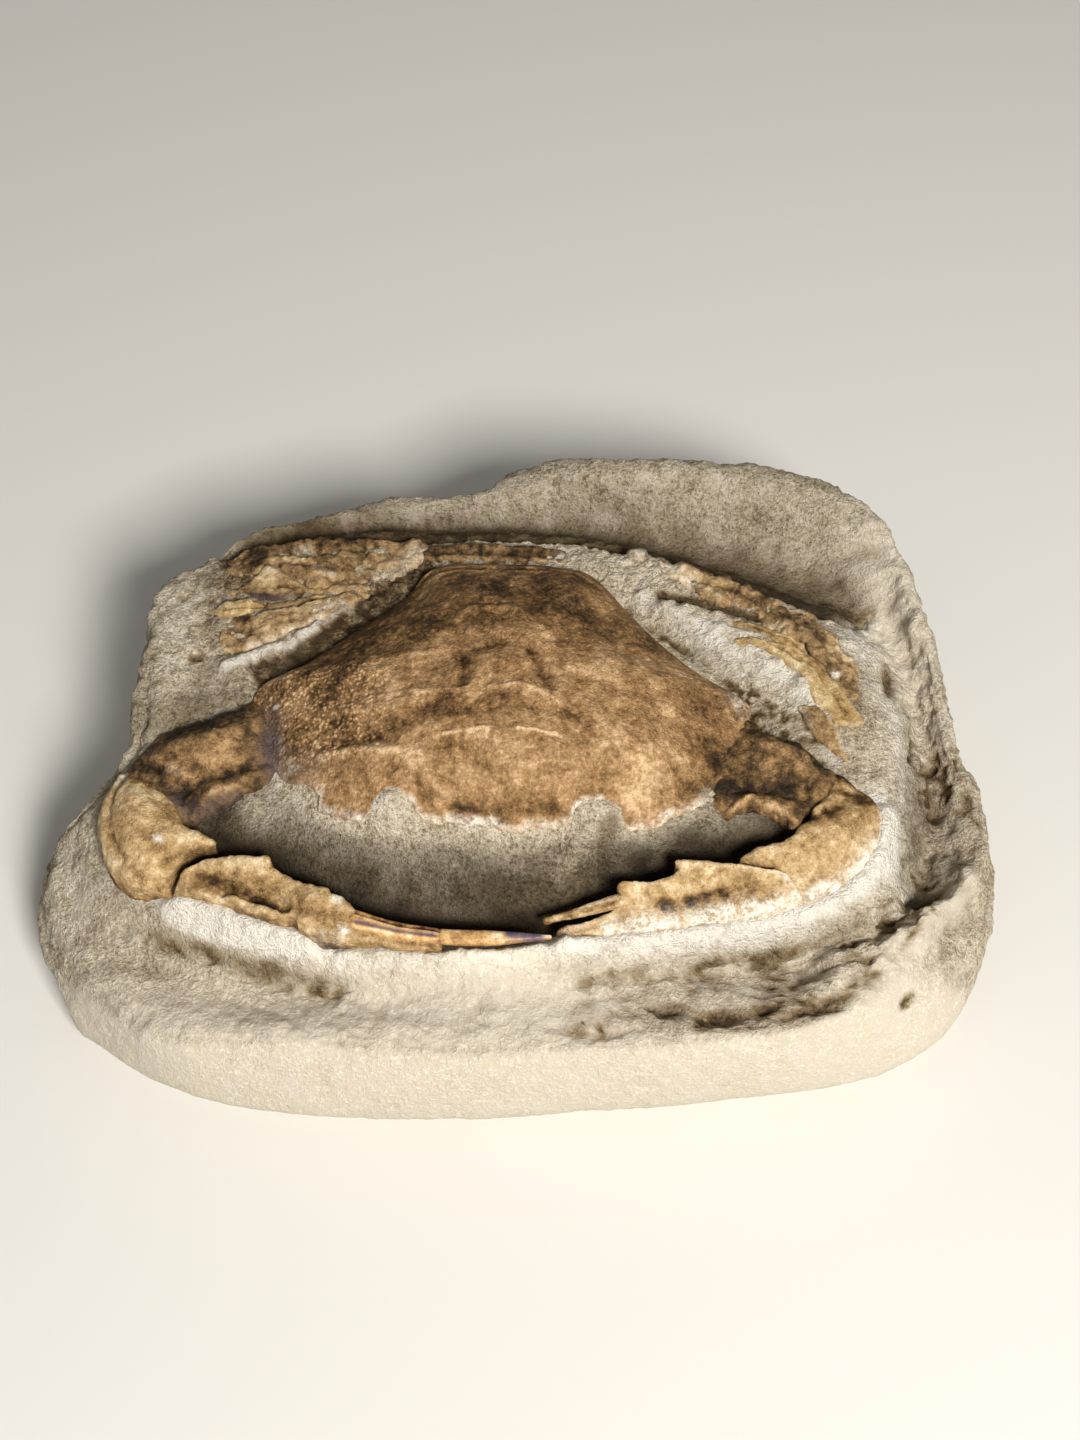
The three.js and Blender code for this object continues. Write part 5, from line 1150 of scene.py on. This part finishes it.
slab_limb(
    "right_merus", foot=28, material=MERUS, edge=1.0, grit=0.36, tone=0.36,
    outline=[(43.4, 1.2), (48, -2.2), (52.6, -4.8), (57, -7.4), (60.6, -10.2), (62.4, -12.6), (61.6, -15.4),
             (58.4, -18.2), (55.4, -21), (53.6, -23.8), (52.4, -23.8), (50.4, -21.2), (47.4, -19.2), (44, -19.2),
             (41.6, -20.8), (40, -21.8), (37, -21.4), (33.4, -20.2), (33, -14), (36, -8), (39.4, -2)],
    spots=[(43, 0, 41.0), (51, -4.2, 41.8), (59, -9.2, 41), (61.8, -13, 40.4), (37.6, -8.6, 41.2), (42, -6, 42),
           (46, -6, 43.4), (51, -8.2, 44), (56.6, -11.6, 42.8), (35.4, -14, 41), (40, -12, 42.0), (44, -11.6, 42.8),
           (48, -14, 42.6), (54, -16.6, 42), (58, -15.6, 41.6), (35, -19, 40.6), (40, -20.8, 40.2),
           (44.4, -18.6, 42), (49, -19.8, 41.8), (53, -22.8, 40.8)],
    swell=[([(40.4, -20.8), (42.4, -19.2), (44.8, -18.2), (49.6, -19.8), (53, -23)], 0.45, 0.7),
           ([(43, -3.4), (50, -6.6), (56, -9.8)], 1.0, 0.4), ([(47, -9), (54, -12.6)], 0.7, 0.4),
           ([(40, -9), (45, -12)], 1.2, 0.3)],
    grooves=[([(42.4, -16.8), (47, -16.6), (52, -18), (56, -18.6)], 0.9, 0.8),
             ([(38.4, -10), (37, -14), (36.6, -17.4)], 1.0, 0.5), ([(59, -12), (56, -16.4)], 0.7, 0.5),
             ([(52, -6), (56.6, -8.6), (60, -12)], 0.7, 0.4)],
    # the dark band along the back edge is painted shadow
    tones=[([(45, -1.6), (60, -10.8)], 2.2, -0.26),
           ([(40.4, -21), (42.4, -19.4), (44.8, -18.2), (49.6, -19.8), (53, -23)], 0.42, 0.6),
           ([(42.6, -17.6), (47, -17), (51, -18.6)], 1.0, -0.22),
           ([(37, -12), (41, -16), (47, -17), (53, -18.4)], 1.8, -0.26), ([(49, -8), (56, -11)], 1.6, 0.14),
           ([(44, -4), (50, -6.4)], 1.2, 0.08), ([(50, -21), (55, -20), (59.6, -17.4)], 0.8, 0.2),
           ([(55, -12.4), (59, -12.2)], 1.4, 0.28), ([(52, -10), (57, -13)], 2.4, 0.12)],
    residue=[([(43, -21.4), (46, -20.4)], 0.6, 0.5)])
slab_limb(
    "right_carpus", foot=26, material=CLAW, edge=1.5, ragged=0.1, grit=0.2, tone=0.63,
    outline=[(42.2, -30.2), (45.4, -28.4), (49.6, -27.2), (53, -25.4), (55.4, -21.8), (58, -18.8), (60.6, -15.8),
             (61.4, -12.4), (62.4, -11.4), (65, -13.4), (68.4, -15.8), (70.2, -18.8), (70.5, -22), (69.2, -26.4),
             (66, -30.9), (62.4, -33.2), (58.8, -34.8), (55.4, -36.2), (53.4, -35), (51.6, -32.8), (48.6, -31.4),
             (45, -30.8)],
    spots=[(42.8, -30, 39.4), (48.4, -28.8, 40), (53, -27, 40.8), (56.6, -22, 41.6), (60.6, -17, 41.4),
           (62, -12.6, 40.8), (65.4, -15.6, 39.6), (69.2, -18.2, 38.8), (70, -22, 37.4), (68.6, -26.4, 36),
           (65, -30.8, 35), (61, -33, 34.8), (55.6, -35.6, 34.4), (63.6, -21, 41), (60.6, -26, 40.6),
           (64.6, -26, 39), (57, -30, 38.6), (60.6, -30, 37.4), (52.6, -31.6, 37.8)],
    swell=[([(56.6, -20.6), (60, -19.4), (63.6, -18.6)], 0.6, 0.5), ([(46, -29), (54, -27)], 1.0, 0.3)],
    grooves=[([(54, -22.6), (57.4, -21.4), (61, -19.4), (67, -17.6)], 0.9, 0.7),
             ([(62, -12.6), (63, -16)], 1.0, 0.6)],
    tones=[([(61, -11), (64.9, -12.4), (68.4, -15.4)], 1.6, -0.7),
           ([(60.4, -17), (64.6, -16.6), (68.6, -17.8)], 1.2, -0.5), ([(60.4, -14.6), (64, -15)], 0.7, 0.2),
           ([(54, -22.8), (57, -22.6), (61, -21.6)], 1.5, -0.5), ([(61, -21), (66, -20.4)], 1.4, -0.24),
           ([(52.6, -23.6), (55, -20.8), (57.6, -18.6), (60, -17.8)], 0.55, 0.5),
           ([(55, -23.4), (60, -23)], 1.6, -0.14), ([(56, -31), (66, -27)], 3.2, 0.06),
           # the light line along the outer rim is a painted highlight
           ([(69.8, -17.6), (70, -22), (68.6, -26.6), (65.6, -30.4)], 0.6, 0.3),
           ([(44, -29.8), (50, -28), (54, -25.8)], 0.7, 0.12)],
    residue=[([(56, -36.2), (62, -33.6), (66.4, -30.6), (69.4, -25.8)], 1.9, 1.5),
             ([(70.4, -22), (69.8, -18)], 0.7, 0.4)])
slab_limb(
    "right_propodus", foot=25, material=CLAW, edge=0.8, ragged=0.12, voxel=0.26, grit=0.2, tone=0.73,
    outline=[(53.6, -36.8), (54.4, -35.8), (52.6, -33.8), (50.4, -32.2), (47.4, -32), (43, -31.5), (38.6, -31.2),
             (34, -30.9), (29.9, -31.2), (30.6, -32.2), (28.6, -33.4), (26, -34.1), (22.6, -34.2), (19, -34.7),
             (19.4, -36.4), (17.6, -38.6), (13, -40), (9.4, -40.8), (7.8, -41.6), (8.4, -42.6), (14, -42.6),
             (21, -42), (28, -41.2), (35, -40.2), (42, -39.6), (48, -38.6)],
    spots=[(53, -36, 34.4), (50.6, -33, 37.8), (46, -32.4, 38.8), (40, -31.8, 39.3), (34, -31.4, 39.7),
           (30.4, -31.6, 39.8), (28, -34, 37.6), (23, -34.8, 37.4), (19.6, -35.2, 37.5), (46, -35, 37.2),
           (40, -34.6, 37.3), (34, -34.4, 37), (49, -37, 34.8), (42, -38.4, 34.2), (37, -37.4, 34.7),
           (30, -37.2, 34.2), (34, -39.2, 33.4), (26, -37.6, 35.4), (27, -40.4, 33), (20, -38.4, 34.2),
           (19, -41.4, 32.2), (12, -41.4, 32), (8.4, -42, 31.6)],
    grooves=[([(28.4, -38), (32, -37.2), (37.4, -36.6), (41, -36)], 1.4, 1.2),
             ([(20, -39.6), (11, -41.8)], 0.4, 0.5), ([(44, -33.6), (46, -35)], 0.4, 0.25),
             ([(24.4, -36), (26.4, -38.6)], 0.5, 0.4)],
    tones=[([(28.2, -37.8), (31, -37.2), (35, -36.5), (39.4, -36.1)], 1.2, -0.44),
           ([(28.2, -37.9), (29.6, -37.6)], 0.8, -0.2), ([(36, -36.2), (44, -35.6)], 1.4, -0.14),
           ([(31, -31.8), (40, -31.8), (49, -32.6)], 0.55, 0.36), ([(26, -35.6), (27, -38)], 0.9, -0.25),
           ([(32, -34.6), (39, -35)], 1.6, 0.05), ([(43, -34), (47, -34.6)], 1.2, -0.08)],
    residue=[([(52, -37.6), (42, -39.4), (30, -40.8), (18, -42)], 1.75, 1.9),
             ([(51, -32.4), (53, -34), (54, -36.4)], 1.2, 1.5), ([(16, -38.4), (9, -42.4)], 1.2, 0.5)])
round_limb(
    "right_dactylus", material=CLAW, grit=0.16, tone=0.68, voxel=0.22,
    stations=[(20.6, -36.6, 34.9, 1.3, 1.0, 2), (15, -37.8, 34, 1.0, 0.9, 2), (9.8, -39.0, 33.3, 0.7, 0.7, 1.6),
              (5.4, -40.2, 32.7, 0.45, 0.5, 1.2)],
    grooves=[([(20, -36.8, 36), (12, -38.6, 34.6)], 0.3, 0.3)],
    tones=[([(19, -37.6, 35.4), (10, -39.6, 33.6)], 0.4, -0.4),
           ([(10, -39.1, 33.4), (5, -40.4, 32.8)], 1.4, -0.42)],
    residue=[([(18, -36.6), (12, -38)], 0.6, 0.3)])
slab_limb(
    "pleon", foot=38, material=LEG, edge=0.9, grit=0.4, tone=0.27,
    outline=[(-19, 38.4), (-12, 37.6), (-3, 37.4), (5, 37.4), (10.6, 36.8), (11, 39), (8, 41), (0, 41.8), (-9, 42),
             (-17, 41.6), (-20, 40.4)],
    spots=[(-18, 38.6, 45), (-4, 38.4, 45.6), (10, 38, 45), (-18, 41, 45.4), (-4, 41, 46.4), (9, 40, 45.6)],
    grooves=[([(-18, 39.6), (-4, 39.4), (9, 38.6)], 0.5, 0.5), ([(-8, 37.6), (-7.6, 42)], 0.4, 0.3),
             ([(2, 37.6), (2.4, 42)], 0.4, 0.3)],
    tones=[([(-18, 38.6), (-3, 38), (10, 37.6)], 0.5, 0.25)],
    residue=[([(9, 39), (11, 38)], 1.2, 0.5)])
slab_limb(
    "left_leg_5", foot=38, material=LEG, rise=0.0, edge=0.5, ragged=0.5, grit=0.5, tone=0.52,
    outline=[(-60.6, 38.4), (-57, 41.6), (-50, 42.8), (-41, 43.4), (-32, 43.8), (-24.6, 43.4), (-19, 41.8),
             (-20, 38.6), (-24, 34.6), (-29.4, 31.9), (-35.2, 32.3), (-40.6, 31.4), (-44.7, 33.4), (-48.4, 35.4),
             (-51.6, 37), (-54, 35), (-56.8, 34.4), (-59.4, 35)],
    spots=[(-59, 38, 0.5), (-52, 41, 0.7), (-42, 42, 0.9), (-32, 42.6, 0.9), (-22, 41.6, 0.6), (-56, 36, 0.4),
           (-50, 38, 0.9), (-44, 36, 1.0), (-38, 34, 0.7), (-36, 38, 1.1), (-28, 36, 0.9), (-28, 33, 0.4)],
    swell=[([(-52, 39.4), (-42, 38), (-34, 37)], 0.7, 0.5), ([(-48, 42), (-36, 42.4)], 0.8, 0.4),
           ([(-43, 35), (-36, 34)], 0.6, 0.5), ([(-34, 39), (-28, 36)], 0.8, 0.4)],
    grooves=[([(-57, 37.6), (-50, 39.8), (-42, 39.8), (-33, 40.6), (-26, 40.6)], 0.5, 0.6),
             ([(-50, 36.8), (-43, 36.6), (-36, 35.6), (-30, 36)], 0.45, 0.5),
             ([(-45, 43), (-43.6, 39.6), (-44.4, 36)], 0.4, 0.5), ([(-30, 42.6), (-33, 37)], 0.4, 0.4)],
    # the dark band along the back edge is painted shadow
    tones=[([(-60, 39), (-50, 42.4), (-42, 42.8), (-30, 43.4)], 2.0, -0.32), ([(-58, 36), (-54, 39)], 2.2, -0.2),
           ([(-40, 41), (-26, 40)], 2.5, -0.1), ([(-52, 38.6), (-44, 37.4)], 1.0, 0.2),
           ([(-56, 36), (-53, 37)], 1.0, -0.2), ([(-42, 34.6), (-38, 33.2)], 0.6, 0.3),
           ([(-34, 39), (-28, 38)], 1.4, 0.12)],
    residue=[([(-21, 40), (-24, 36), (-28, 33)], 2.0, 0.55), ([(-38, 34.2), (-42, 36)], 0.5, 0.7),
             ([(-46, 40.6), (-44, 41)], 0.8, 0.6)])
slab_limb(
    "left_leg_4", foot=38, material=LEG, rise=0.0, edge=0.6, ragged=0.25, grit=0.36, tone=0.6,
    outline=[(-60.4, 30.6), (-57.1, 32), (-55, 33.2), (-53.4, 34.4), (-51.7, 36), (-48.6, 34.6), (-46.1, 32.9),
             (-42, 31), (-36, 31.6), (-30, 31.3), (-33, 29.9), (-40, 29.8), (-43, 29.5), (-46, 28.9), (-50, 28.3),
             (-54, 28.9), (-57, 29.8)],
    spots=[(-60, 30.8, 0.3), (-57, 31, 0.7), (-53, 32, 1.3), (-50.6, 33.6, 1.3), (-46, 31, 1.1), (-40, 30.4, 0.7),
           (-32, 30.6, 0.4), (-51.6, 29.4, 0.9)],
    tones=[([(-54, 32.6), (-50.6, 34)], 1.4, 0.2), ([(-56, 29.6), (-50, 28.6), (-44, 29.4)], 0.7, -0.5)],
    grooves=[([(-58, 31), (-52, 31), (-44, 30.6)], 0.35, 0.35)],
    violet=[([(-56, 29), (-50, 28.2), (-46, 28.8)], 0.9, 0.9)])
slab_limb(
    "left_leg_3", foot=38, material=YELLOW, rise=0.0, edge=0.5, ragged=0.2, voxel=0.26, grit=0.3, tone=0.62,
    outline=[(-62, 25.6), (-60.6, 27.2), (-57.8, 28), (-54.4, 27.8), (-51.6, 27.1), (-47, 27.9), (-43, 29),
             (-38, 29.6), (-31, 29.9), (-30, 29.3), (-36, 28.8), (-40, 28.4), (-44, 27.3), (-47, 26.5), (-50.7, 26),
             (-53.4, 25.3), (-56, 24.8), (-58.7, 24.3), (-61, 24.6)],
    spots=[(-61.6, 25.6, 0.3), (-58.6, 26.2, 1.1), (-55, 26.3, 1.2), (-51.4, 26.5, 0.6), (-46, 27.3, 0.7),
           (-40, 28.9, 0.6), (-31, 29.6, 0.3)],
    tones=[([(-60, 26), (-54, 26.6)], 1.6, 0.14), ([(-51, 26.6), (-46, 27.2), (-36, 29)], 1.2, -0.3)],
    grooves=[([(-60, 25.4), (-52, 26)], 0.35, 0.3), ([(-51.4, 27.4), (-51.6, 25.6)], 0.4, 0.5)],
    residue=[([(-61.6, 26.6), (-60, 27.4)], 0.7, 0.6)],
    violet=[([(-50, 26.4), (-45, 27.4)], 0.8, 0.5)])
slab_limb(
    "left_leg_2", foot=38, material=LEG, rise=0.0, edge=0.5, ragged=0.4, grit=0.42, tone=0.64,
    outline=[(-59.6, 16.4), (-60, 21.8), (-58.2, 23.6), (-55.6, 24.1), (-52.5, 24.5), (-50.4, 25.4), (-47.3, 25.9),
             (-44.2, 26.8), (-40.5, 27.9), (-36.8, 28.3), (-33, 28.9), (-31.4, 28.2), (-33.6, 27), (-36.6, 25),
             (-40.1, 22.4), (-43, 20.6), (-47, 19), (-51, 17.8), (-54, 16.4), (-57.4, 15.2)],
    spots=[(-59.4, 17, 0.3), (-59, 21.6, 0.2), (-55.6, 20.6, 0.5), (-55, 17, 0.7), (-51.6, 22.6, 1.2),
           (-50, 18.8, 0.9), (-46, 24, 1.5), (-44, 20.8, 0.9), (-41, 25.6, 1.3), (-38, 23.8, 0.8),
           (-34.4, 27.8, 0.6)],
    tones=[([(-59, 21.8), (-55.4, 23)], 1.5, -0.5), ([(-58.4, 20), (-55, 19.4)], 1.2, -0.3),
           ([(-50, 23), (-42, 25)], 2.0, 0.12), ([(-57, 17.4), (-52, 18.4)], 0.9, -0.12)],
    grooves=[([(-54, 20.4), (-46, 22), (-38, 25)], 0.45, 0.4), ([(-58.6, 18.6), (-52, 19.4)], 0.35, 0.35),
             ([(-53.6, 24), (-54.4, 19.6)], 0.5, 0.5), ([(-47, 25.6), (-45.6, 21)], 0.35, 0.3)],
    residue=[([(-54, 16.6), (-47, 19.4), (-40, 22.8)], 0.6, 0.7), ([(-41, 24.4), (-36, 26.6)], 0.9, 0.5)])
slab_limb(
    "right_leg_5", foot=34, material=LEG, rise=0.1, edge=0.5, ragged=0.4, grit=0.5, tone=0.58,
    outline=[(23.4, 39.8), (28.6, 38.8), (32, 37.4), (36.6, 35.4), (40.7, 33.8), (44.7, 32), (48.3, 30.7),
             (51.5, 28.2), (55, 26.4), (59.9, 25.2), (61.9, 22), (63.5, 20), (65.4, 17.3), (67.2, 14.4),
             (68.2, 12.5), (67.6, 9.3), (66.5, 5), (64.2, 6.8), (62.4, 8.9), (61.2, 10.6), (60.4, 12.4), (59, 14.2),
             (57.8, 16.8), (55, 18.2), (52, 19.2), (49.8, 20.4), (49.2, 23), (47, 24.9), (44.8, 25.3), (41.8, 26.7),
             (38.3, 28.5), (34.3, 30.9), (30.3, 33.6), (26, 37)],
    spots=[(24.6, 39, 0.3), (31, 36.4, 0.6), (38, 33, 0.8), (45, 30, 0.9), (51, 27, 0.7), (58, 24.4, 0.6),
           (62.6, 19.4, 0.8), (66.6, 13, 0.8), (66.6, 6.4, 0.3), (33, 32.4, 0.5), (40, 28.6, 0.7), (47, 26, 0.5),
           (54, 22, 1.3), (59.4, 18, 1.4), (63.6, 12, 1.0), (51, 21.4, 0.7)],
    swell=[([(62.2, 20), (64.2, 17.6), (66.6, 14.2), (67.8, 12)], 0.5, 0.6),
           ([(34, 35), (44, 30.6), (52, 26.8)], 0.8, 0.4), ([(61, 14.4), (66, 10.6)], 0.6, 0.6)],
    grooves=[([(52, 27.6), (50, 23.4)], 0.7, 0.8), ([(36, 32.4), (44, 29), (50, 26)], 0.45, 0.5),
             ([(55, 23.6), (59, 20), (62, 15)], 0.7, 0.6), ([(46, 31), (43.6, 27)], 0.4, 0.4),
             ([(57, 24.6), (56, 19)], 0.4, 0.4)],
    tones=[([(34, 34.4), (42, 31.4), (48.6, 28.4)], 1.2, 0.2),
           ([(29.8, 34.7), (33.8, 32.0), (37.8, 29.9), (41.3, 27.3)], 0.5, 0.4),
           # the dark band along the back edge is painted shadow
           ([(26, 39.4), (38, 35), (46, 31.6), (52, 28.6)], 1.3, -0.36), ([(44, 30.6), (50, 27.4)], 1.4, -0.2),
           ([(53, 24), (58, 21.6), (61, 18)], 3.0, -0.26),
           ([(62.2, 19.8), (64.2, 17.6), (66.6, 14.2), (67.8, 12)], 0.6, 0.4),
           ([(61.6, 13.4), (66.4, 10.8)], 0.8, 0.3), ([(63, 10), (66.4, 7)], 1.6, -0.34),
           ([(32, 37), (40, 33.8)], 0.7, 0.2)],
    residue=[([(24, 39.4), (31, 35.6), (36, 31.6)], 1.4, 0.8), ([(63.1, 9.7), (63.4, 9.5)], 0.55, 1.6),
             ([(52.4, 28), (58, 25.4)], 0.9, 0.5), ([(50, 21.4), (53, 20)], 0.7, 0.6)])
slab_limb(
    "right_leg_4", foot=36, material=YELLOW, rise=0.0, edge=0.5, ragged=0.15, voxel=0.26, grit=0.22, tone=0.6,
    outline=[(43.5, 21.9), (46.4, 21.2), (48.8, 20.2), (51.8, 18.8), (54.7, 17.7), (57.6, 16.4), (56.8, 15.2),
             (54.2, 15.8), (51.4, 17), (48.9, 18), (46, 19.6), (44, 20.8)],
    spots=[(44, 21.4, 0.4), (48, 19.8, 1.0), (52, 18, 1.3), (56.6, 16, 0.9), (50, 17.8, 0.7)],
    tones=[([(45, 20), (50, 17.6), (56, 15.6)], 0.6, -0.3), ([(50, 18.8), (56, 16.8)], 0.8, 0.2)],
    grooves=[([(45, 20.8), (51, 18.4), (56, 16.2)], 0.3, 0.3)],
    residue=[([(44, 20.4), (50, 17.6)], 0.6, 0.5)])
slab_limb(
    "right_leg_3", foot=34, material=YELLOW, rise=0.0, edge=0.6, ragged=0.12, voxel=0.28, grit=0.16, tone=0.68,
    outline=[(43.3, 17), (45.9, 17.5), (48.4, 17.2), (50.9, 16.4), (53.3, 15.9), (55.6, 15.2), (57.1, 15),
             (59, 13.7), (60.4, 11.8), (61.4, 9.9), (62.8, 7.8), (64.7, 5), (66.5, 2.6), (68.1, 0.1), (67.7, -1.2),
             (65.2, -1.4), (62.8, -1.4), (61.4, -0.2), (59.5, 1.6), (58, 4), (56.6, 8.8), (54.1, 11.2),
             (51.2, 13.3), (48.3, 14.9), (44.8, 15.4)],
    spots=[(44, 16.2, 0.5), (48.4, 16.4, 0.8), (53, 14.6, 1.1), (56.6, 13.6, 1.2), (59.4, 10.6, 1.3),
           (61.4, 6.6, 1.3), (63.6, 2.6, 1.2), (66, 0, 0.7), (51, 14.4, 0.7), (57, 8.6, 0.9), (59, 4, 0.8),
           (61, 0.6, 0.5)],
    swell=[([(50.8, 15), (53.4, 13.2), (55.8, 10.8)], 0.4, 0.4), ([(62.8, 7.4), (66.2, 2)], 0.5, 0.35)],
    grooves=[([(55, 14.6), (59, 10.4), (61.6, 5.8), (64.6, 1)], 0.35, 0.3), ([(51.4, 15.6), (56, 12)], 0.4, 0.3)],
    tones=[([(50.8, 14.9), (53.4, 13), (55.8, 10.4)], 0.5, 0.3), ([(43.4, 16.4), (47.4, 16.8)], 1.0, -0.06),
           ([(57, 14.4), (60, 10.4), (62, 7.4)], 0.6, -0.24), ([(63, 7), (67, 1)], 0.6, 0.2)],
    residue=[([(65, -1.6), (67.6, -1)], 0.6, 0.4), ([(58.6, 2.4), (61.4, -0.4)], 0.6, 0.4)])
slab_limb(
    "right_leg_2", foot=34, material=LEG, rise=0.0, edge=0.5, ragged=0.2, voxel=0.28, grit=0.3, tone=0.5,
    outline=[(55.4, 2.2), (57.5, 2.4), (59.8, 1.2), (61.4, -0.9), (62.4, -2.9), (63.2, -4.7), (64.2, -6),
             (64.7, -8.6), (62.8, -7.6), (61.2, -6.2), (59.6, -4.6), (58, -2.7), (56.6, -0.6), (55.6, 1)],
    spots=[(56.4, 1.6, 0.7), (59.4, -0.6, 1.0), (61.8, -3.6, 0.9), (63.8, -7.4, 0.4), (58.4, -2, 0.5),
           (61, -5.4, 0.4)],
    tones=[([(60.2, 1), (62.4, -2.6), (64.4, -7.6)], 0.5, 0.45), ([(58.4, -0.6), (61, -4)], 1.2, -0.16),
           ([(56, 1.8), (57.6, 1.6)], 0.9, 0.2)],
    residue=[([(55.6, 2), (56.6, 0)], 0.7, 0.5)])


# ---------------------------------------------------------------- stage, light and camera

FLOOR_SIZE = 3.0  # metres
WARM = (1.0, 0.97, 0.93)
WORLD_STRENGTH = 0.12
CAMERA_ELEVATION = math.radians(55)
CAMERA_DISTANCE = 0.375  # metres
CAMERA_RIGHT, CAMERA_BACK, CAMERA_UP = 4.5, 11.5, 25  # where it looks, in millimetres from the slab's middle and base


def build_stage():
    """A pale floor that the slab rests on."""
    bpy.ops.mesh.primitive_plane_add(size=FLOOR_SIZE, location=(0, 0.5, CAD_BOX[0].z))
    floor = bpy.context.object
    floor.name = "floor"
    m = Nodes("pale_floor")
    floor.data.materials.append(m.finish(srgb(222, 220, 214), 0.8, m.bump(m.noise(4, 2), 0.02)))


def area(name, azimuth, elevation, far, size, power, colour=(1, 1, 1)):
    """A square soft box that looks at the middle of the slab. Azimuth 0 is in front of the claws, 90 to the right."""
    a, e = math.radians(azimuth), math.radians(elevation)
    middle = (CAD_BOX[0] + CAD_BOX[1]) / 2
    data = bpy.data.lights.new(name, "AREA")
    data.shape, data.size, data.energy, data.color = "SQUARE", size, power, colour
    lamp = bpy.data.objects.new(name, data)
    back = Vector((math.sin(a) * math.cos(e), -math.cos(a) * math.cos(e), math.sin(e)))
    lamp.location = middle + back * far
    lamp.rotation_mode = "QUATERNION"
    lamp.rotation_quaternion = (-back).to_track_quat("-Z", "Y")
    bpy.context.collection.objects.link(lamp)


build_stage()
area("key", azimuth=25, elevation=42, far=1.0, size=0.27, power=13.5, colour=WARM)
area("fill", azimuth=-70, elevation=50, far=1.2, size=0.9, power=1.2, colour=(1.0, 0.98, 0.95))
area("back", azimuth=170, elevation=60, far=1.2, size=0.8, power=0.8)
world = bpy.data.worlds.new("studio")
world.use_nodes = True
world.node_tree.nodes["Background"].inputs["Color"].default_value = (*WARM, 1.0)
world.node_tree.nodes["Background"].inputs["Strength"].default_value = WORLD_STRENGTH
bpy.context.scene.world = world

camera = bpy.data.objects.new("camera", bpy.data.cameras.new("camera"))
camera.data.lens, camera.data.sensor_width = 45, 36
middle = (CAD_BOX[0].x + CAD_BOX[1].x) / 2
target = Vector((middle + CAMERA_RIGHT * MM, CAMERA_BACK * MM, CAMERA_UP * MM))
back = Vector((0, -math.cos(CAMERA_ELEVATION), math.sin(CAMERA_ELEVATION)))
camera.location = target + back * CAMERA_DISTANCE
camera.rotation_euler = (math.pi / 2 - CAMERA_ELEVATION, 0, 0)
camera.data.clip_start, camera.data.clip_end = 0.01, 20
bpy.context.collection.objects.link(camera)
bpy.context.scene.camera = camera
bpy.context.scene.view_settings.view_transform = "Standard"
